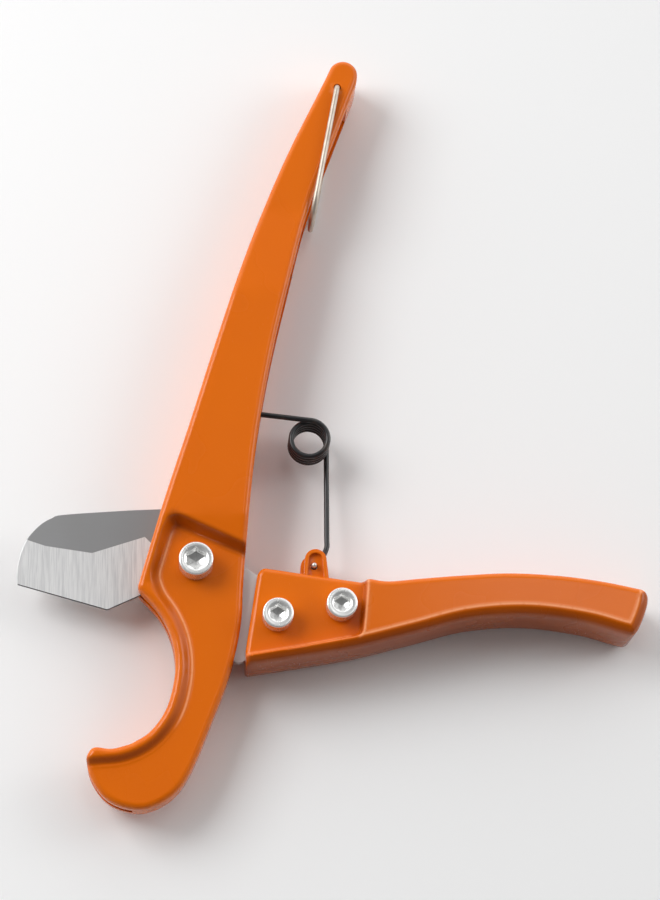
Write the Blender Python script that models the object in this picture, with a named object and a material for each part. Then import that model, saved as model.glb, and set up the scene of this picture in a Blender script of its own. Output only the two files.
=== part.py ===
"""A one-hand pipe cutter for plastic pipe: a fixed handle with a hooked jaw, and a blade that the
moving handle swings down into it.

It lies on the rear faces of its two handles. X runs along the moving handle, Y along the fixed handle, and
Z is the thickness, with the blade in the middle. All the sizes below are in millimetres and are
measured from the pivot axis, at the middle of the blade's thickness.
"""

import math

import bmesh
import bpy
from mathutils import Matrix, Vector

MM = 0.001
GAP = 0.3

# Thicknesses, each a distance from the middle of the blade.
HANDLE_HALF = 10.0
RIM_HALF = 7.0
JAW_HALF = 5.2
TIP_HALF = 7.9
PAD_HALF = 6.5
REAR_SEAT = 5.2
CHANNEL_HALF = 7.0
UPPER_CHANNEL_HALF = 5.0
BLADE_HALF = 1.1
SLOT_HALF = 1.5
WASHER_SEAT_HALF = 2.2
SCREW_END = 9.9
WEB = 3.0
EDGE_ROUND = 1.5

# The fixed handle with its jaw.
OUTER_EDGE = [(40.4, 154.8), (27.9, 128.4), (16.8, 100.4), (6.6, 69.3), (-1.6, 42.7), (-8.7, 20.5),
              (-17.1, -7.3)]
INNER_EDGE = [(50.9, 155.2), (43.8, 136.6), (35.0, 112.4), (28.8, 88.7), (23.3, 65.5), (19.1, 42.8),
              (16.2, 20.5)]
JAW_BACK = [(14.0, -3.8), (13.0, -18.2), (9.7, -32.5), (4.4, -46.5), (-1.4, -60.3), (-6.5, -67.6),
            (-13.9, -71.6)]
HOOK_END = [(-20.5, -71.3), (-26.2, -68.4), (-30.2, -62.6), (-31.6, -57.0)]
NOSE = [(-29.4, -54.1), (-24.3, -54.6), (-18.7, -53.2)]
SEAT = [(-13.4, -49.8), (-8.9, -43.6), (-6.6, -35.8), (-6.1, -28.8), (-7.5, -21.1), (-11.2, -13.9)]
TIP_CENTRE = (46.7, 157.9)
TIP_RADIUS = 4.5
TIP_ANGLES = (165.0, -12.0)
STEP_LINE = [(-8.9, 12.6), (26.0, -0.9)]
RIM_WIDTH = 3.2
JAW_TOP = -4.0
SEAT_TOP = -9.5
NOSE_END = -26.0
STOP_BLOCK = [(-14.0, 19.0), (-2.9, 19.0), (-2.2, 14.4), (2.9, 14.4), (3.4, 21.0), (26.0, 21.0)]
RIM_FOOT = [(-36.0, -58.6), (-44.0, -84.0), (26.0, -84.0)]
SLOT_FLOOR = [(26.0, -33.2), (9.4, -33.4), (5.0, -38.0), (-6.5, -58.0), (-19.0, -72.5), (-21.0, -78.0),
              (-46.0, -78.0), (-46.0, 19.0)]
CHANNEL_FOOT = [(24.0, 4.8), (6.4, 11.6), (6.4, 25.0)]
CHANNEL_TOP = 147.0
CHANNEL_NARROWS = 95.0

# The fixed handle seen from the side: where its thickness changes, up from the hook.
SIDE_START = -90.0
SIDE_LENGTH = 260.0
BEYOND = HANDLE_HALF + 5
THICKNESS = [(-90.0, RIM_HALF), (1.0, RIM_HALF), (14.5, HANDLE_HALF), (84.0, HANDLE_HALF),
             (111.0, TIP_HALF), (170.0, TIP_HALF)]

# The blade: its back, the line where its grind begins, its cutting edge, and the tail in the handle.
BLADE_BACK = [(-2.9, 18.2), (-19.3, 17.6), (-38.4, 16.3), (-42.3, 15.2), (-45.9, 12.9)]
BLADE_TIP = [(-49.5, 8.6), (-51.5, 3.4), (-52.2, -1.0)]
CUTTING_EDGE = [(-52.1, -4.8), (-25.8, -12.6), (-12.5, -6.6)]
GRIND_LINE = [(-30.4, 4.5), (-14.5, 9.5)]
GRIND_END = (-9.0, -6.4)
EDGE_HALF = 0.15
HUB_RADIUS = 11.0
TAIL = [(5.5, -15.0), (9.6, -26.0), (10.4, -27.7), (11.7, -28.8), (13.0, -28.7), (14.4, -28.0), (19.0, -25.6),
        (47.5, -21.0), (48.0, -9.0), (21.0, -4.6), (16.0, -1.0)]

# The moving handle.
GRIP_TOP = [(50.6, -5.6), (56.0, -6.4), (65.8, -5.6), (78.0, -4.7), (92.0, -4.1), (107.0, -5.0),
            (120.0, -6.9)]
GRIP_END = [(131.4, -9.4), (132.6, -12.2), (130.6, -18.2), (127.8, -22.6), (124.4, -22.2)]
GRIP_BELOW = [(112.8, -18.9), (96.5, -16.8), (79.5, -17.9), (63.1, -22.0), (46.3, -26.1), (29.6, -28.9)]
BLADE_POCKET = [(4.0, 8.0), (4.0, -33.5), (14.0, -28.9), (19.4, -26.3), (50.0, -21.6), (50.0, 8.0)]
PAD_CORNERS = [(14.4, -31.2), (14.2, -26.5), (18.0, -3.0), (19.6, -1.3), (49.0, -5.9)]
PAD_POCKET = [(4.0, 8.0), (4.0, -29.9), (15.0, -28.0), (30.0, -25.6), (47.0, -22.8), (48.6, -21.2),
              (49.3, -8.0), (49.3, 8.0)]
GRIP_CHANNEL = (54.0, 126.0)
GRIP_CHANNEL_FOOT = -18.5
ARM_SLOT = [(37.5, 8.0), (37.5, -7.0), (40.0, -8.6), (55.5, -8.6), (55.5, 8.0)]
ARM_SLOT_HALF = 4.0

# Fasteners: (shank radius, head radius, head height, nut width across flats, nut height).
PIVOT_SCREW = (3.0, 5.0, 6.0, 10.0, 3.0)
CLAMP_SCREW = (2.5, 4.5, 5.0, 8.0, 3.0)
SPOT_FACE = 5.9
CLAMP_POINTS = {"inner": (23.6, -16.4), "outer": (42.2, -13.5)}
SOCKET_SHARE = 1.1
SOCKET_DEPTH_SHARE = 0.55
LOCK_WASHER = 1.0
LOCK_GAP = [(0.0, -0.4), (12.0, -0.9), (12.0, 0.1), (0.0, 0.4)]
NUT_GAP = 0.25
NUT_BEVEL = 0.4
SLEEVE_RADIUS = 4.0
BEARING_WASHER = (4.4, 7.6, 0.5)

# The torsion spring.
LUG_HOLE = (34.6, -0.8)
LUG_CROWN = (34.7, 0.9)
LUG_RADIUS = 3.4
LUG_FOOT = -8.0
LUG_HALVES = (2.0, 6.0)
COIL_CENTRE = (34.2, 39.3)
COIL_RADIUS = 5.5
WIRE_RADIUS = 0.8
COIL_PITCH = 1.75
COIL_FRONT = 3.7
UPPER_ARM_ANGLE = 173.0
UPPER_ARM_LENGTH = 28.0
FRONT_TURNS = 2.0
REAR_TURNS = 2.0
COIL_JOINT_GAP = 0.7
LOWER_ARM = [(4.35, 9.4, -0.9), (4.3, 7.4, -0.8), (3.5, 5.3, -0.6), (2.2, 3.2, -0.4), (0.9, 1.2, 0.1),
             (0.15, 0.2, 1.2), (0.0, 0.0, 2.8), (0.0, 0.0, 6.2)]
REAR_COIL_START = 69.0
REAR_COIL_END = -2.0

# The wire bail that locks the handles together.
BAIL_HOLE = (44.7, 152.9)
BAIL_END = (36.0, 108.9)
BAIL_WIRE_RADIUS = 0.85
BAIL_HALF = TIP_HALF + GAP + BAIL_WIRE_RADIUS
BAIL_CORNER = 1.8
BAIL_INNER_END = 5.6


# Each material's colour, roughness and metallic share.
LOOKS = {
    "orange_paint": ((0.84, 0.19, 0.01), 0.3, 0.0),
    "blade_steel": ((0.62, 0.62, 0.63), 0.32, 1.0),
    "plated_steel": ((0.8, 0.8, 0.8), 0.2, 1.0),
    "black_spring_steel": ((0.03, 0.03, 0.032), 0.4, 0.0),
}


def clear_scene():
    """Removes what the startup scene holds."""
    for obj in list(bpy.data.objects):
        bpy.data.objects.remove(obj)


def material(name, colour, roughness, metallic):
    """A Principled BSDF with one colour."""
    made = bpy.data.materials.new(name)
    made.use_nodes = True
    shader = made.node_tree.nodes["Principled BSDF"]
    shader.inputs["Base Color"].default_value = (*colour, 1.0)
    shader.inputs["Roughness"].default_value = roughness
    shader.inputs["Metallic"].default_value = metallic
    return made


def smooth_curve(points, steps=4):
    """Points on the Catmull-Rom curve through the given ones, from the first to the last."""
    padded = [2 * Vector(points[0]) - Vector(points[1])]
    padded += [Vector(point) for point in points]
    padded += [2 * Vector(points[-1]) - Vector(points[-2])]
    found = []
    for a, b, c, d in zip(padded, padded[1:], padded[2:], padded[3:]):
        for step in range(steps):
            t = step / steps
            found.append(0.5 * (2 * b + (c - a) * t + (2 * a - 5 * b + 4 * c - d) * t**2
                                + (3 * b - a - 3 * c + d) * t**3))
    return [tuple(point) for point in found] + [tuple(padded[-2])]


def arc(centre, radius, start, end, steps=12):
    """Points on an arc, from the start angle to the end angle, in degrees."""
    angles = [math.radians(start + (end - start) * i / steps) for i in range(steps + 1)]
    return [(centre[0] + radius * math.cos(a), centre[1] + radius * math.sin(a)) for a in angles]


def shifted(points, origin):
    """The points measured from another origin."""
    return [(x - origin[0], y - origin[1]) for x, y in points]


def offset(points, distance):
    """The open line moved sideways, to the left of its direction when distance is positive."""
    moved = []
    for i, point in enumerate(points):
        along = Vector(points[min(i + 1, len(points) - 1)]) - Vector(points[max(i - 1, 0)])
        along.normalize()
        moved.append((point[0] - along.y * distance, point[1] + along.x * distance))
    return moved


def object_from(name, mesh_maker, finish, origin=(0.0, 0.0, 0.0), parent=None):
    """Turns a bmesh in millimetres into an object in metres, placed under its parent."""
    bmesh.ops.recalc_face_normals(mesh_maker, faces=mesh_maker.faces)
    bmesh.ops.scale(mesh_maker, vec=(MM, MM, MM), verts=mesh_maker.verts)
    mesh = bpy.data.meshes.new(name)
    mesh_maker.to_mesh(mesh)
    mesh_maker.free()
    obj = bpy.data.objects.new(name, mesh)
    bpy.context.scene.collection.objects.link(obj)
    obj.location = Vector(origin) * MM
    obj.parent = parent
    if finish:
        mesh.materials.append(finish)
    return obj


def prism_mesh(outline, low, high, edge_round=0.0):
    """A bmesh of the outline between two heights, with its two rims rounded."""
    made = bmesh.new()
    rim = [made.verts.new((x, y, low)) for x, y in outline]
    base = made.faces.new(rim)
    lifted = bmesh.ops.extrude_face_region(made, geom=[base])
    top = [item for item in lifted["geom"] if isinstance(item, bmesh.types.BMVert)]
    bmesh.ops.translate(made, verts=top, vec=(0, 0, high - low))
    if edge_round:
        rims = [edge for edge in made.edges if abs(edge.verts[0].co.z - edge.verts[1].co.z) < 1e-6]
        bmesh.ops.bevel(made, geom=rims, offset=edge_round, segments=3, profile=0.5, affect="EDGES",
                        clamp_overlap=True)
    return made


def prism(name, outline, low, high, finish, edge_round=0.0, **placing):
    """An object of the outline between two heights."""
    return object_from(name, prism_mesh(outline, low, high, edge_round), finish, **placing)


def turned(name, profile, finish, steps=32, **placing):
    """An object turned about Z from a closed (radius, height) profile."""
    made = bmesh.new()
    ring = [made.verts.new((r, 0, z)) for r, z in profile]
    edges = [made.edges.new((a, b)) for a, b in zip(ring, ring[1:] + ring[:1])]
    bmesh.ops.spin(made, geom=ring + edges, cent=(0, 0, 0), axis=(0, 0, 1), angle=2 * math.pi, steps=steps)
    bmesh.ops.remove_doubles(made, verts=made.verts, dist=1e-4)
    bmesh.ops.dissolve_degenerate(made, edges=made.edges, dist=1e-4)
    obj = object_from(name, made, finish, **placing)
    obj.data.shade_smooth()
    obj.data.set_sharp_from_angle(angle=math.radians(35))
    return obj


def cylinder_outline(radius, sides=32, centre=(0.0, 0.0), start=0.0):
    """The corners of a regular polygon."""
    return arc(centre, radius, start, start + 360, sides)[:-1]


def hexagon(across_flats, centre=(0.0, 0.0)):
    """The corners of a hexagon of that width across its flats."""
    return cylinder_outline(across_flats / math.sqrt(3), 6, centre, 30)


def shape(obj, outline, low, high, operation="DIFFERENCE"):
    """Cuts the outline out of the object between two heights, or adds it, and leaves no helper behind."""
    helper = prism("helper", outline, low, high, None)
    helper.parent = obj.parent
    helper.location = obj.location
    modifier = obj.modifiers.new("shape", "BOOLEAN")
    modifier.operation = operation
    modifier.object = helper
    modifier.solver = "EXACT"
    apply_modifiers(obj)
    bpy.data.objects.remove(helper)


def wire(name, points, radius, finish, sides=2, **placing):
    """A round wire along the points, closed at both ends."""
    curve = bpy.data.curves.new(name, "CURVE")
    curve.dimensions = "3D"
    curve.bevel_depth = radius * MM
    curve.bevel_resolution = sides
    curve.use_fill_caps = True
    line = curve.splines.new("POLY")
    line.points.add(len(points) - 1)
    for spot, point in zip(line.points, points):
        spot.co = (*(Vector(point) * MM), 1.0)
    curve.materials.append(finish)
    obj = bpy.data.objects.new(name, curve)
    bpy.context.scene.collection.objects.link(obj)
    origin = placing.get("origin", (0.0, 0.0, 0.0))
    obj.location = Vector(origin) * MM
    obj.parent = placing.get("parent")
    return obj


def apply_modifiers(obj):
    """Replaces the object's mesh with what its modifiers make of it."""
    bpy.context.view_layer.update()
    graph = bpy.context.evaluated_depsgraph_get()
    mesh = bpy.data.meshes.new_from_object(obj.evaluated_get(graph))
    obj.modifiers.clear()
    obj.data = mesh
    cleaned = bmesh.new()
    cleaned.from_mesh(mesh)
    bmesh.ops.remove_doubles(cleaned, verts=cleaned.verts, dist=0.002 * MM)
    bmesh.ops.dissolve_degenerate(cleaned, edges=cleaned.edges, dist=0.001 * MM)
    cleaned.to_mesh(mesh)
    cleaned.free()


def round_edges(obj, width, angle=60.0):
    """Rounds every edge that turns by more than the angle."""
    modifier = obj.modifiers.new("round", "BEVEL")
    modifier.width = width * MM
    modifier.segments = 3
    modifier.limit_method = "ANGLE"
    modifier.angle_limit = math.radians(angle)
    modifier.use_clamp_overlap = False
    apply_modifiers(obj)


def fixed_outline():
    """The whole outline of the fixed handle and jaw, anticlockwise."""
    outer = smooth_curve(OUTER_EDGE[::-1], 5)
    tip = arc(TIP_CENTRE, TIP_RADIUS, *TIP_ANGLES, 10)
    back = smooth_curve(INNER_EDGE + JAW_BACK + HOOK_END, 4)
    nose = smooth_curve([HOOK_END[-1]] + NOSE, 3)
    seat = smooth_curve([NOSE[-1]] + SEAT + [OUTER_EDGE[-1]], 4)
    clockwise = outer[1:] + tip + back + nose[1:] + seat[1:]
    return clockwise[::-1]


def moving_outline():
    """The whole outline of the moving handle, anticlockwise."""
    top = smooth_curve(GRIP_TOP + [GRIP_END[0]], 4)
    end = smooth_curve(GRIP_END, 3)[1:-1]
    below = smooth_curve([GRIP_END[-1]] + GRIP_BELOW + [PAD_CORNERS[0]], 4)
    clockwise = PAD_CORNERS[1:] + top + end + below
    return list(reversed(clockwise))


def pocket_outline():
    """The sunk face of the jaw: below the step line, and inside the raised rim along the blade side."""
    side = offset(smooth_curve(OUTER_EDGE[-3:], 6), RIM_WIDTH)
    side = [point for point in side if JAW_TOP < point[1] < STEP_LINE[0][1]]
    seat = offset(smooth_curve(OUTER_EDGE[-1:] + SEAT[::-1] + NOSE[::-1], 4), RIM_WIDTH)
    seat = [point for point in seat if point[1] < SEAT_TOP and point[0] > NOSE_END]
    return STEP_LINE[::-1] + side + seat + RIM_FOOT


def channel_outline(top=CHANNEL_TOP):
    """The hollow of the fixed handle up to that height, which opens towards the moving handle."""
    web = offset(smooth_curve(OUTER_EDGE, 5), WEB)
    web = [point for point in web if 30.0 < point[1] < top - 2]
    corner = (web[0][0] + 1.2, top)
    return CHANNEL_FOOT + list(reversed(web)) + [corner, (80.0, top), (80.0, CHANNEL_FOOT[0][1])]


def grip_channel_outline():
    """The hollow of the moving handle, which opens towards the fixed one."""
    below = smooth_curve([GRIP_END[-1]] + GRIP_BELOW, 4)
    floor = [point for point in offset(below, -WEB) if GRIP_CHANNEL[0] < point[0] < GRIP_CHANNEL[1] - 2]
    return floor + [(GRIP_CHANNEL[0], 8.0), (GRIP_CHANNEL[1], 8.0), (GRIP_CHANNEL[1], GRIP_CHANNEL_FOOT)]


def trim_side(obj, profile):
    """Cuts a (Y, Z) profile out of the object, all the way across X."""
    made = bmesh.new()
    rim = [made.verts.new((SIDE_START, y, z)) for y, z in profile]
    base = made.faces.new(rim)
    lifted = bmesh.ops.extrude_face_region(made, geom=[base])
    moved = [item for item in lifted["geom"] if isinstance(item, bmesh.types.BMVert)]
    bmesh.ops.translate(made, verts=moved, vec=(SIDE_LENGTH, 0, 0))
    helper = object_from("helper", made, None, parent=obj.parent)
    modifier = obj.modifiers.new("trim", "BOOLEAN")
    modifier.operation = "DIFFERENCE"
    modifier.object = helper
    modifier.solver = "EXACT"
    apply_modifiers(obj)
    bpy.data.objects.remove(helper)


def make_fixed_handle(finish, parent):
    """The casting that holds the pipe: handle, pivot cheeks and hook."""
    body = prism("fixed_jaw_handle", fixed_outline(), -HANDLE_HALF, HANDLE_HALF, finish, parent=parent)
    for side in (1, -1):
        profile = [(y, side * half) for y, half in THICKNESS]
        ends = [(THICKNESS[k][0], side * BEYOND) for k in (-1, 0)]
        trim_side(body, profile + ends)
    round_edges(body, EDGE_ROUND)
    for side in (1, -1):
        low, high = sorted((side * JAW_HALF, side * BEYOND))
        shape(body, pocket_outline(), low, high)
    shape(body, STOP_BLOCK + SLOT_FLOOR, -SLOT_HALF, SLOT_HALF)
    shape(body, channel_outline(), -UPPER_CHANNEL_HALF, UPPER_CHANNEL_HALF)
    shape(body, channel_outline(CHANNEL_NARROWS), -CHANNEL_HALF, CHANNEL_HALF)
    shape(body, cylinder_outline(BEARING_WASHER[1] + GAP), -WASHER_SEAT_HALF, WASHER_SEAT_HALF)
    shape(body, cylinder_outline(SLEEVE_RADIUS + GAP), -BEYOND, BEYOND)
    shape(body, cylinder_outline(BAIL_WIRE_RADIUS + GAP, 16, BAIL_HOLE), -BEYOND, BEYOND)
    return body


def make_moving_handle(finish, parent):
    """The casting that the hand squeezes, with two pads that clamp the blade and two spring lugs."""
    body = prism("moving_handle", moving_outline(), -HANDLE_HALF, HANDLE_HALF, finish, EDGE_ROUND,
                 parent=parent)
    for side in (1, -1):
        low, high = sorted((side * PAD_HALF, side * BEYOND))
        shape(body, PAD_POCKET, low, high)
        lug = arc(LUG_CROWN, LUG_RADIUS, 0, 180, 12)
        lug += [(lug[-1][0], LUG_FOOT), (lug[0][0], LUG_FOOT)]
        low, high = sorted((side * LUG_HALVES[0], side * LUG_HALVES[1]))
        shape(body, lug, low, high, "UNION")
    shape(body, BLADE_POCKET, -SLOT_HALF, SLOT_HALF)
    shape(body, grip_channel_outline(), -CHANNEL_HALF, CHANNEL_HALF)
    shape(body, ARM_SLOT, -ARM_SLOT_HALF, ARM_SLOT_HALF)
    for centre in CLAMP_POINTS.values():
        shape(body, cylinder_outline(CLAMP_SCREW[0] + GAP, 24, centre), -BEYOND, BEYOND)
        shape(body, cylinder_outline(SPOT_FACE, 32, centre), -BEYOND, -REAR_SEAT)
    shape(body, cylinder_outline(WIRE_RADIUS + GAP, 16, LUG_HOLE), -BEYOND, BEYOND)
    return body


def make_blade(finish, parent):
    """The blade, flat behind its grind line and thinning to the edge in front of it."""
    hub_low = arc((0, 0), HUB_RADIUS, 216, 292, 8)
    hub_high = arc((0, 0), HUB_RADIUS, 12, 104.7, 10)
    flat = BLADE_BACK + [BLADE_TIP[0]]
    thin = BLADE_TIP[1:] + CUTTING_EDGE
    rest = [GRIND_END] + hub_low + TAIL + hub_high
    edge_left = Vector(CUTTING_EDGE[0])
    ground = (Vector(BLADE_TIP[0]) - edge_left).length
    halves = [BLADE_HALF] * len(flat)
    halves += [EDGE_HALF + (BLADE_HALF - EDGE_HALF) * (Vector(p) - edge_left).length / ground
               for p in BLADE_TIP[1:]]
    halves += [EDGE_HALF] * len(CUTTING_EDGE) + [BLADE_HALF] * len(rest)
    outline = flat + thin + rest
    made = bmesh.new()
    rims = []
    for side in (1, -1):
        rim = [made.verts.new((x, y, side * half)) for (x, y), half in zip(outline, halves)]
        line = [made.verts.new((x, y, side * BLADE_HALF)) for x, y in GRIND_LINE]
        first, last = len(flat) - 1, len(flat) + len(thin)
        middle, end = last - 2, last - 1
        made.faces.new(rim[:first + 1] + line + rim[last:])
        made.faces.new(rim[first:middle + 1] + [line[0]])
        made.faces.new([line[0], rim[middle], rim[end], line[1]])
        made.faces.new([line[1], rim[end], rim[last]])
        rims.append(rim)
    for i in range(len(outline)):
        j = (i + 1) % len(outline)
        made.faces.new([rims[0][i], rims[0][j], rims[1][j], rims[1][i]])
    sloping = [face for face in made.faces if max(abs(v.co.z) for v in face.verts)
               - min(abs(v.co.z) for v in face.verts) > 1e-4]
    bmesh.ops.triangulate(made, faces=sloping)
    blade = object_from("blade", made, finish, parent=parent)
    shape(blade, cylinder_outline(SLEEVE_RADIUS + GAP), -BEYOND, BEYOND)
    for centre in CLAMP_POINTS.values():
        shape(blade, cylinder_outline(CLAMP_SCREW[0] + GAP, 24, centre), -BEYOND, BEYOND)
    return blade


def make_screw_set(name, sizes, seat, centre, finish, parent):
    """A socket-head screw, its lock washer and its nut, through both cheeks at one point."""
    shank, head, height, across, nut_height = sizes
    low = seat + GAP
    top = low + height
    profile = [(0, -SCREW_END), (shank - 0.5, -SCREW_END), (shank, -SCREW_END + 0.5), (shank, low),
               (head, low), (head, top - 0.6), (head - 0.6, top), (0, top)]
    screw = turned(f"{name}_screw", profile, finish, origin=(*centre, 0), parent=parent)
    shape(screw, hexagon(head * SOCKET_SHARE), top - height * SOCKET_DEPTH_SHARE, BEYOND + height)
    washer_top = -REAR_SEAT - GAP
    washer_low = washer_top - LOCK_WASHER
    bore = shank + GAP
    rim = head - 0.6
    ring = [(bore, washer_low), (rim, washer_low), (rim, washer_top), (bore, washer_top)]
    washer = turned(f"{name}_lock_washer", ring, finish, origin=(*centre, 0), parent=parent)
    shape(washer, LOCK_GAP, -BEYOND, BEYOND)
    nut_top = washer_low - NUT_GAP
    nut = prism(f"{name}_nut", hexagon(across), nut_top - nut_height, nut_top, finish, NUT_BEVEL,
                origin=(*centre, 0), parent=parent)
    shape(nut, cylinder_outline(bore), -BEYOND, BEYOND)


def make_pivot_bearing(finish, parent):
    """The sleeve that the blade turns on, and a thin washer on each side of the blade."""
    bore, length = PIVOT_SCREW[0] + GAP, JAW_HALF - GAP
    profile = [(bore, -length), (SLEEVE_RADIUS, -length), (SLEEVE_RADIUS, length), (bore, length)]
    turned("pivot_sleeve", profile, finish, parent=parent)
    inside, outside, thick = BEARING_WASHER
    middle = (BLADE_HALF + WASHER_SEAT_HALF) / 2
    for name, side in (("front", 1), ("rear", -1)):
        low, high = side * middle - thick / 2, side * middle + thick / 2
        turned(f"bearing_washer_{name}", [(inside, low), (outside, low), (outside, high), (inside, high)],
               finish, parent=parent)


def coil_points(start, turns, front, steps=18):
    """Points on the coil, clockwise from the start angle and away from the front."""
    count = round(turns * steps)
    found = []
    for i in range(count + 1):
        angle = math.radians(start - 360 * turns * i / count)
        height = front - COIL_PITCH * turns * i / count
        found.append((COIL_RADIUS * math.cos(angle), COIL_RADIUS * math.sin(angle), height))
    return found


def make_spring(finish, lower_parent, upper_parent):
    """The torsion spring in two pieces that meet in the middle of its coil, each with one arm."""
    tangent = UPPER_ARM_ANGLE - 90
    front = coil_points(tangent, FRONT_TURNS, COIL_FRONT)
    a = math.radians(UPPER_ARM_ANGLE)
    tip = Vector(front[0]) + UPPER_ARM_LENGTH * Vector((math.cos(a), math.sin(a), 0))
    wire("spring_upper_arm", [tuple(tip)] + front, WIRE_RADIUS, finish, parent=upper_parent)
    rear_front = COIL_FRONT - COIL_PITCH * FRONT_TURNS - COIL_JOINT_GAP
    rear_turns = REAR_TURNS + (REAR_COIL_START - REAR_COIL_END) / 360
    rear = coil_points(REAR_COIL_START, rear_turns, rear_front)
    rear = [(x + COIL_CENTRE[0] - LUG_HOLE[0], y + COIL_CENTRE[1] - LUG_HOLE[1], z) for x, y, z in rear]
    wire("spring_lower_arm", rear + smooth_curve(LOWER_ARM), WIRE_RADIUS, finish, parent=lower_parent)


def make_bail(finish, parent):
    """The wire loop at the fixed handle's tip: an end in each hole, two legs and a round end."""
    reach = Vector(BAIL_END) - Vector(BAIL_HOLE)
    along = reach.normalized()
    straight = reach.length - BAIL_HALF
    side = [(0, BAIL_INNER_END), (0, BAIL_HALF - BAIL_CORNER)]
    side += [(BAIL_CORNER * (1 - math.cos(a)), BAIL_HALF - BAIL_CORNER * (1 - math.sin(a)))
             for a in (math.radians(30), math.radians(60), math.radians(90))]
    side += [(straight, BAIL_HALF)]
    bow = [(straight + BAIL_HALF * math.sin(a), BAIL_HALF * math.cos(a))
           for a in (math.radians(15 * i) for i in range(1, 12))]
    path = side + bow + [(d, -z) for d, z in reversed(side)]
    wire("wire_bail", [(along.x * d, along.y * d, z) for d, z in path], BAIL_WIRE_RADIUS, finish,
         parent=parent)


def axis_at(name, point, parent):
    """An empty on a joint's axis."""
    empty = bpy.data.objects.new(name, None)
    bpy.context.scene.collection.objects.link(empty)
    empty.location = Vector((*point, 0.0)) * MM
    empty.parent = parent
    return empty


def main():
    """Builds the cutter, open, with the middle of its outline above the origin."""
    clear_scene()
    paint, steel, plated, black = (material(name, *look) for name, look in LOOKS.items())

    outline = fixed_outline() + moving_outline() + BLADE_TIP + CUTTING_EDGE
    middle = [(min(p[k] for p in outline) + max(p[k] for p in outline)) / 2 for k in (0, 1)]
    pivot = axis_at("pivot_axis", (-middle[0], -middle[1]), None)
    pivot.location.z = HANDLE_HALF * MM
    swing = axis_at("handle_swing_axis", (0.0, 0.0), pivot)
    lug = axis_at("spring_lug_axis", LUG_HOLE, swing)
    coil = axis_at("spring_coil_axis", shifted([COIL_CENTRE], LUG_HOLE)[0], lug)
    bail = axis_at("bail_axis", BAIL_HOLE, pivot)

    make_fixed_handle(paint, pivot)
    make_screw_set("pivot", PIVOT_SCREW, JAW_HALF, (0.0, 0.0), plated, pivot)
    make_pivot_bearing(plated, pivot)
    make_moving_handle(paint, swing)
    make_blade(steel, swing)
    for place, centre in CLAMP_POINTS.items():
        make_screw_set(f"clamp_{place}", CLAMP_SCREW, PAD_HALF, centre, plated, swing)
    make_spring(black, lug, coil)
    make_bail(plated, bail)


main()
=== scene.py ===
"""The looks of a one-hand cutter for plastic pipe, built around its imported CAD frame.

Sizes are in millimetres, measured from the pivot's axis at the middle of the blade's thickness, with X
along the opened moving handle, Y along the fixed handle and Z through the thickness. `Place` turns them
into the frame's metres.
"""

import logging
import math
from dataclasses import dataclass, field
from enum import Enum
from typing import Callable, Sequence

import bpy
import numpy as np
from mathutils import Matrix, Vector
from mathutils.geometry import delaunay_2d_cdt

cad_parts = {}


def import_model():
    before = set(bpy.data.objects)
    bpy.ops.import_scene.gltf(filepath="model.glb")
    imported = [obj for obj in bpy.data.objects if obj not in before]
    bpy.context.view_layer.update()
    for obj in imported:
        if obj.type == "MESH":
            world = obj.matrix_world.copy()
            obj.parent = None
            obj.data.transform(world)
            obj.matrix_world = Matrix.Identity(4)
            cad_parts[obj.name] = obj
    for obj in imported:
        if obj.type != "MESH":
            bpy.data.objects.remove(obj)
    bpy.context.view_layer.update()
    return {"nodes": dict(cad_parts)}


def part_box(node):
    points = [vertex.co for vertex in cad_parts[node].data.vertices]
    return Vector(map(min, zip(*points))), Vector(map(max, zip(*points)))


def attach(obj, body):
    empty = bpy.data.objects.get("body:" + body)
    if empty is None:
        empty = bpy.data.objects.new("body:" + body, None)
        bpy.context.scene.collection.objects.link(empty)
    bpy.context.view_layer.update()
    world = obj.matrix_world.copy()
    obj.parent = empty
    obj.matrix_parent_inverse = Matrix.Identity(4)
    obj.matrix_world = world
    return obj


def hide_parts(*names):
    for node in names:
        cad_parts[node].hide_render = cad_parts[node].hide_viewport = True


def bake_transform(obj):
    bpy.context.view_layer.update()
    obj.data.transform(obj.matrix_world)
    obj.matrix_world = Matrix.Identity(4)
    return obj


LOG = logging.getLogger("pipe_cutter")
MM = 0.001
GAP = 0.3
PIVOT = (0.0, 0.0)
CLAMPS = {"clamp_inner": (23.6, -16.4), "clamp_outer": (42.2, -13.5)}
CLAMP_BORE = 2.8
LUG_HOLE = (34.6, -0.8)
SLOT_HALF = 1.5
THROUGH = 20.0
ASKEW = (0.31, 0.22, 0.93)
GRID = 2.6
AIM = (40.45, 36.67, 0.0)


class Slot(Enum):
    """The record's material slots."""

    PAINT = "orange_paint"
    BLADE = "blade_steel"
    PLATED = "plated_steel"
    SPRING = "black_spring_steel"


class Body(Enum):
    """The rigid bodies of the frame."""

    FIXED = "fixed"
    MOVING = "moving"
    LOWER = "spring_lower"
    UPPER = "spring_upper"
    BAIL = "bail"


# --------------------------------------------------------------------------- shader expressions


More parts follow.
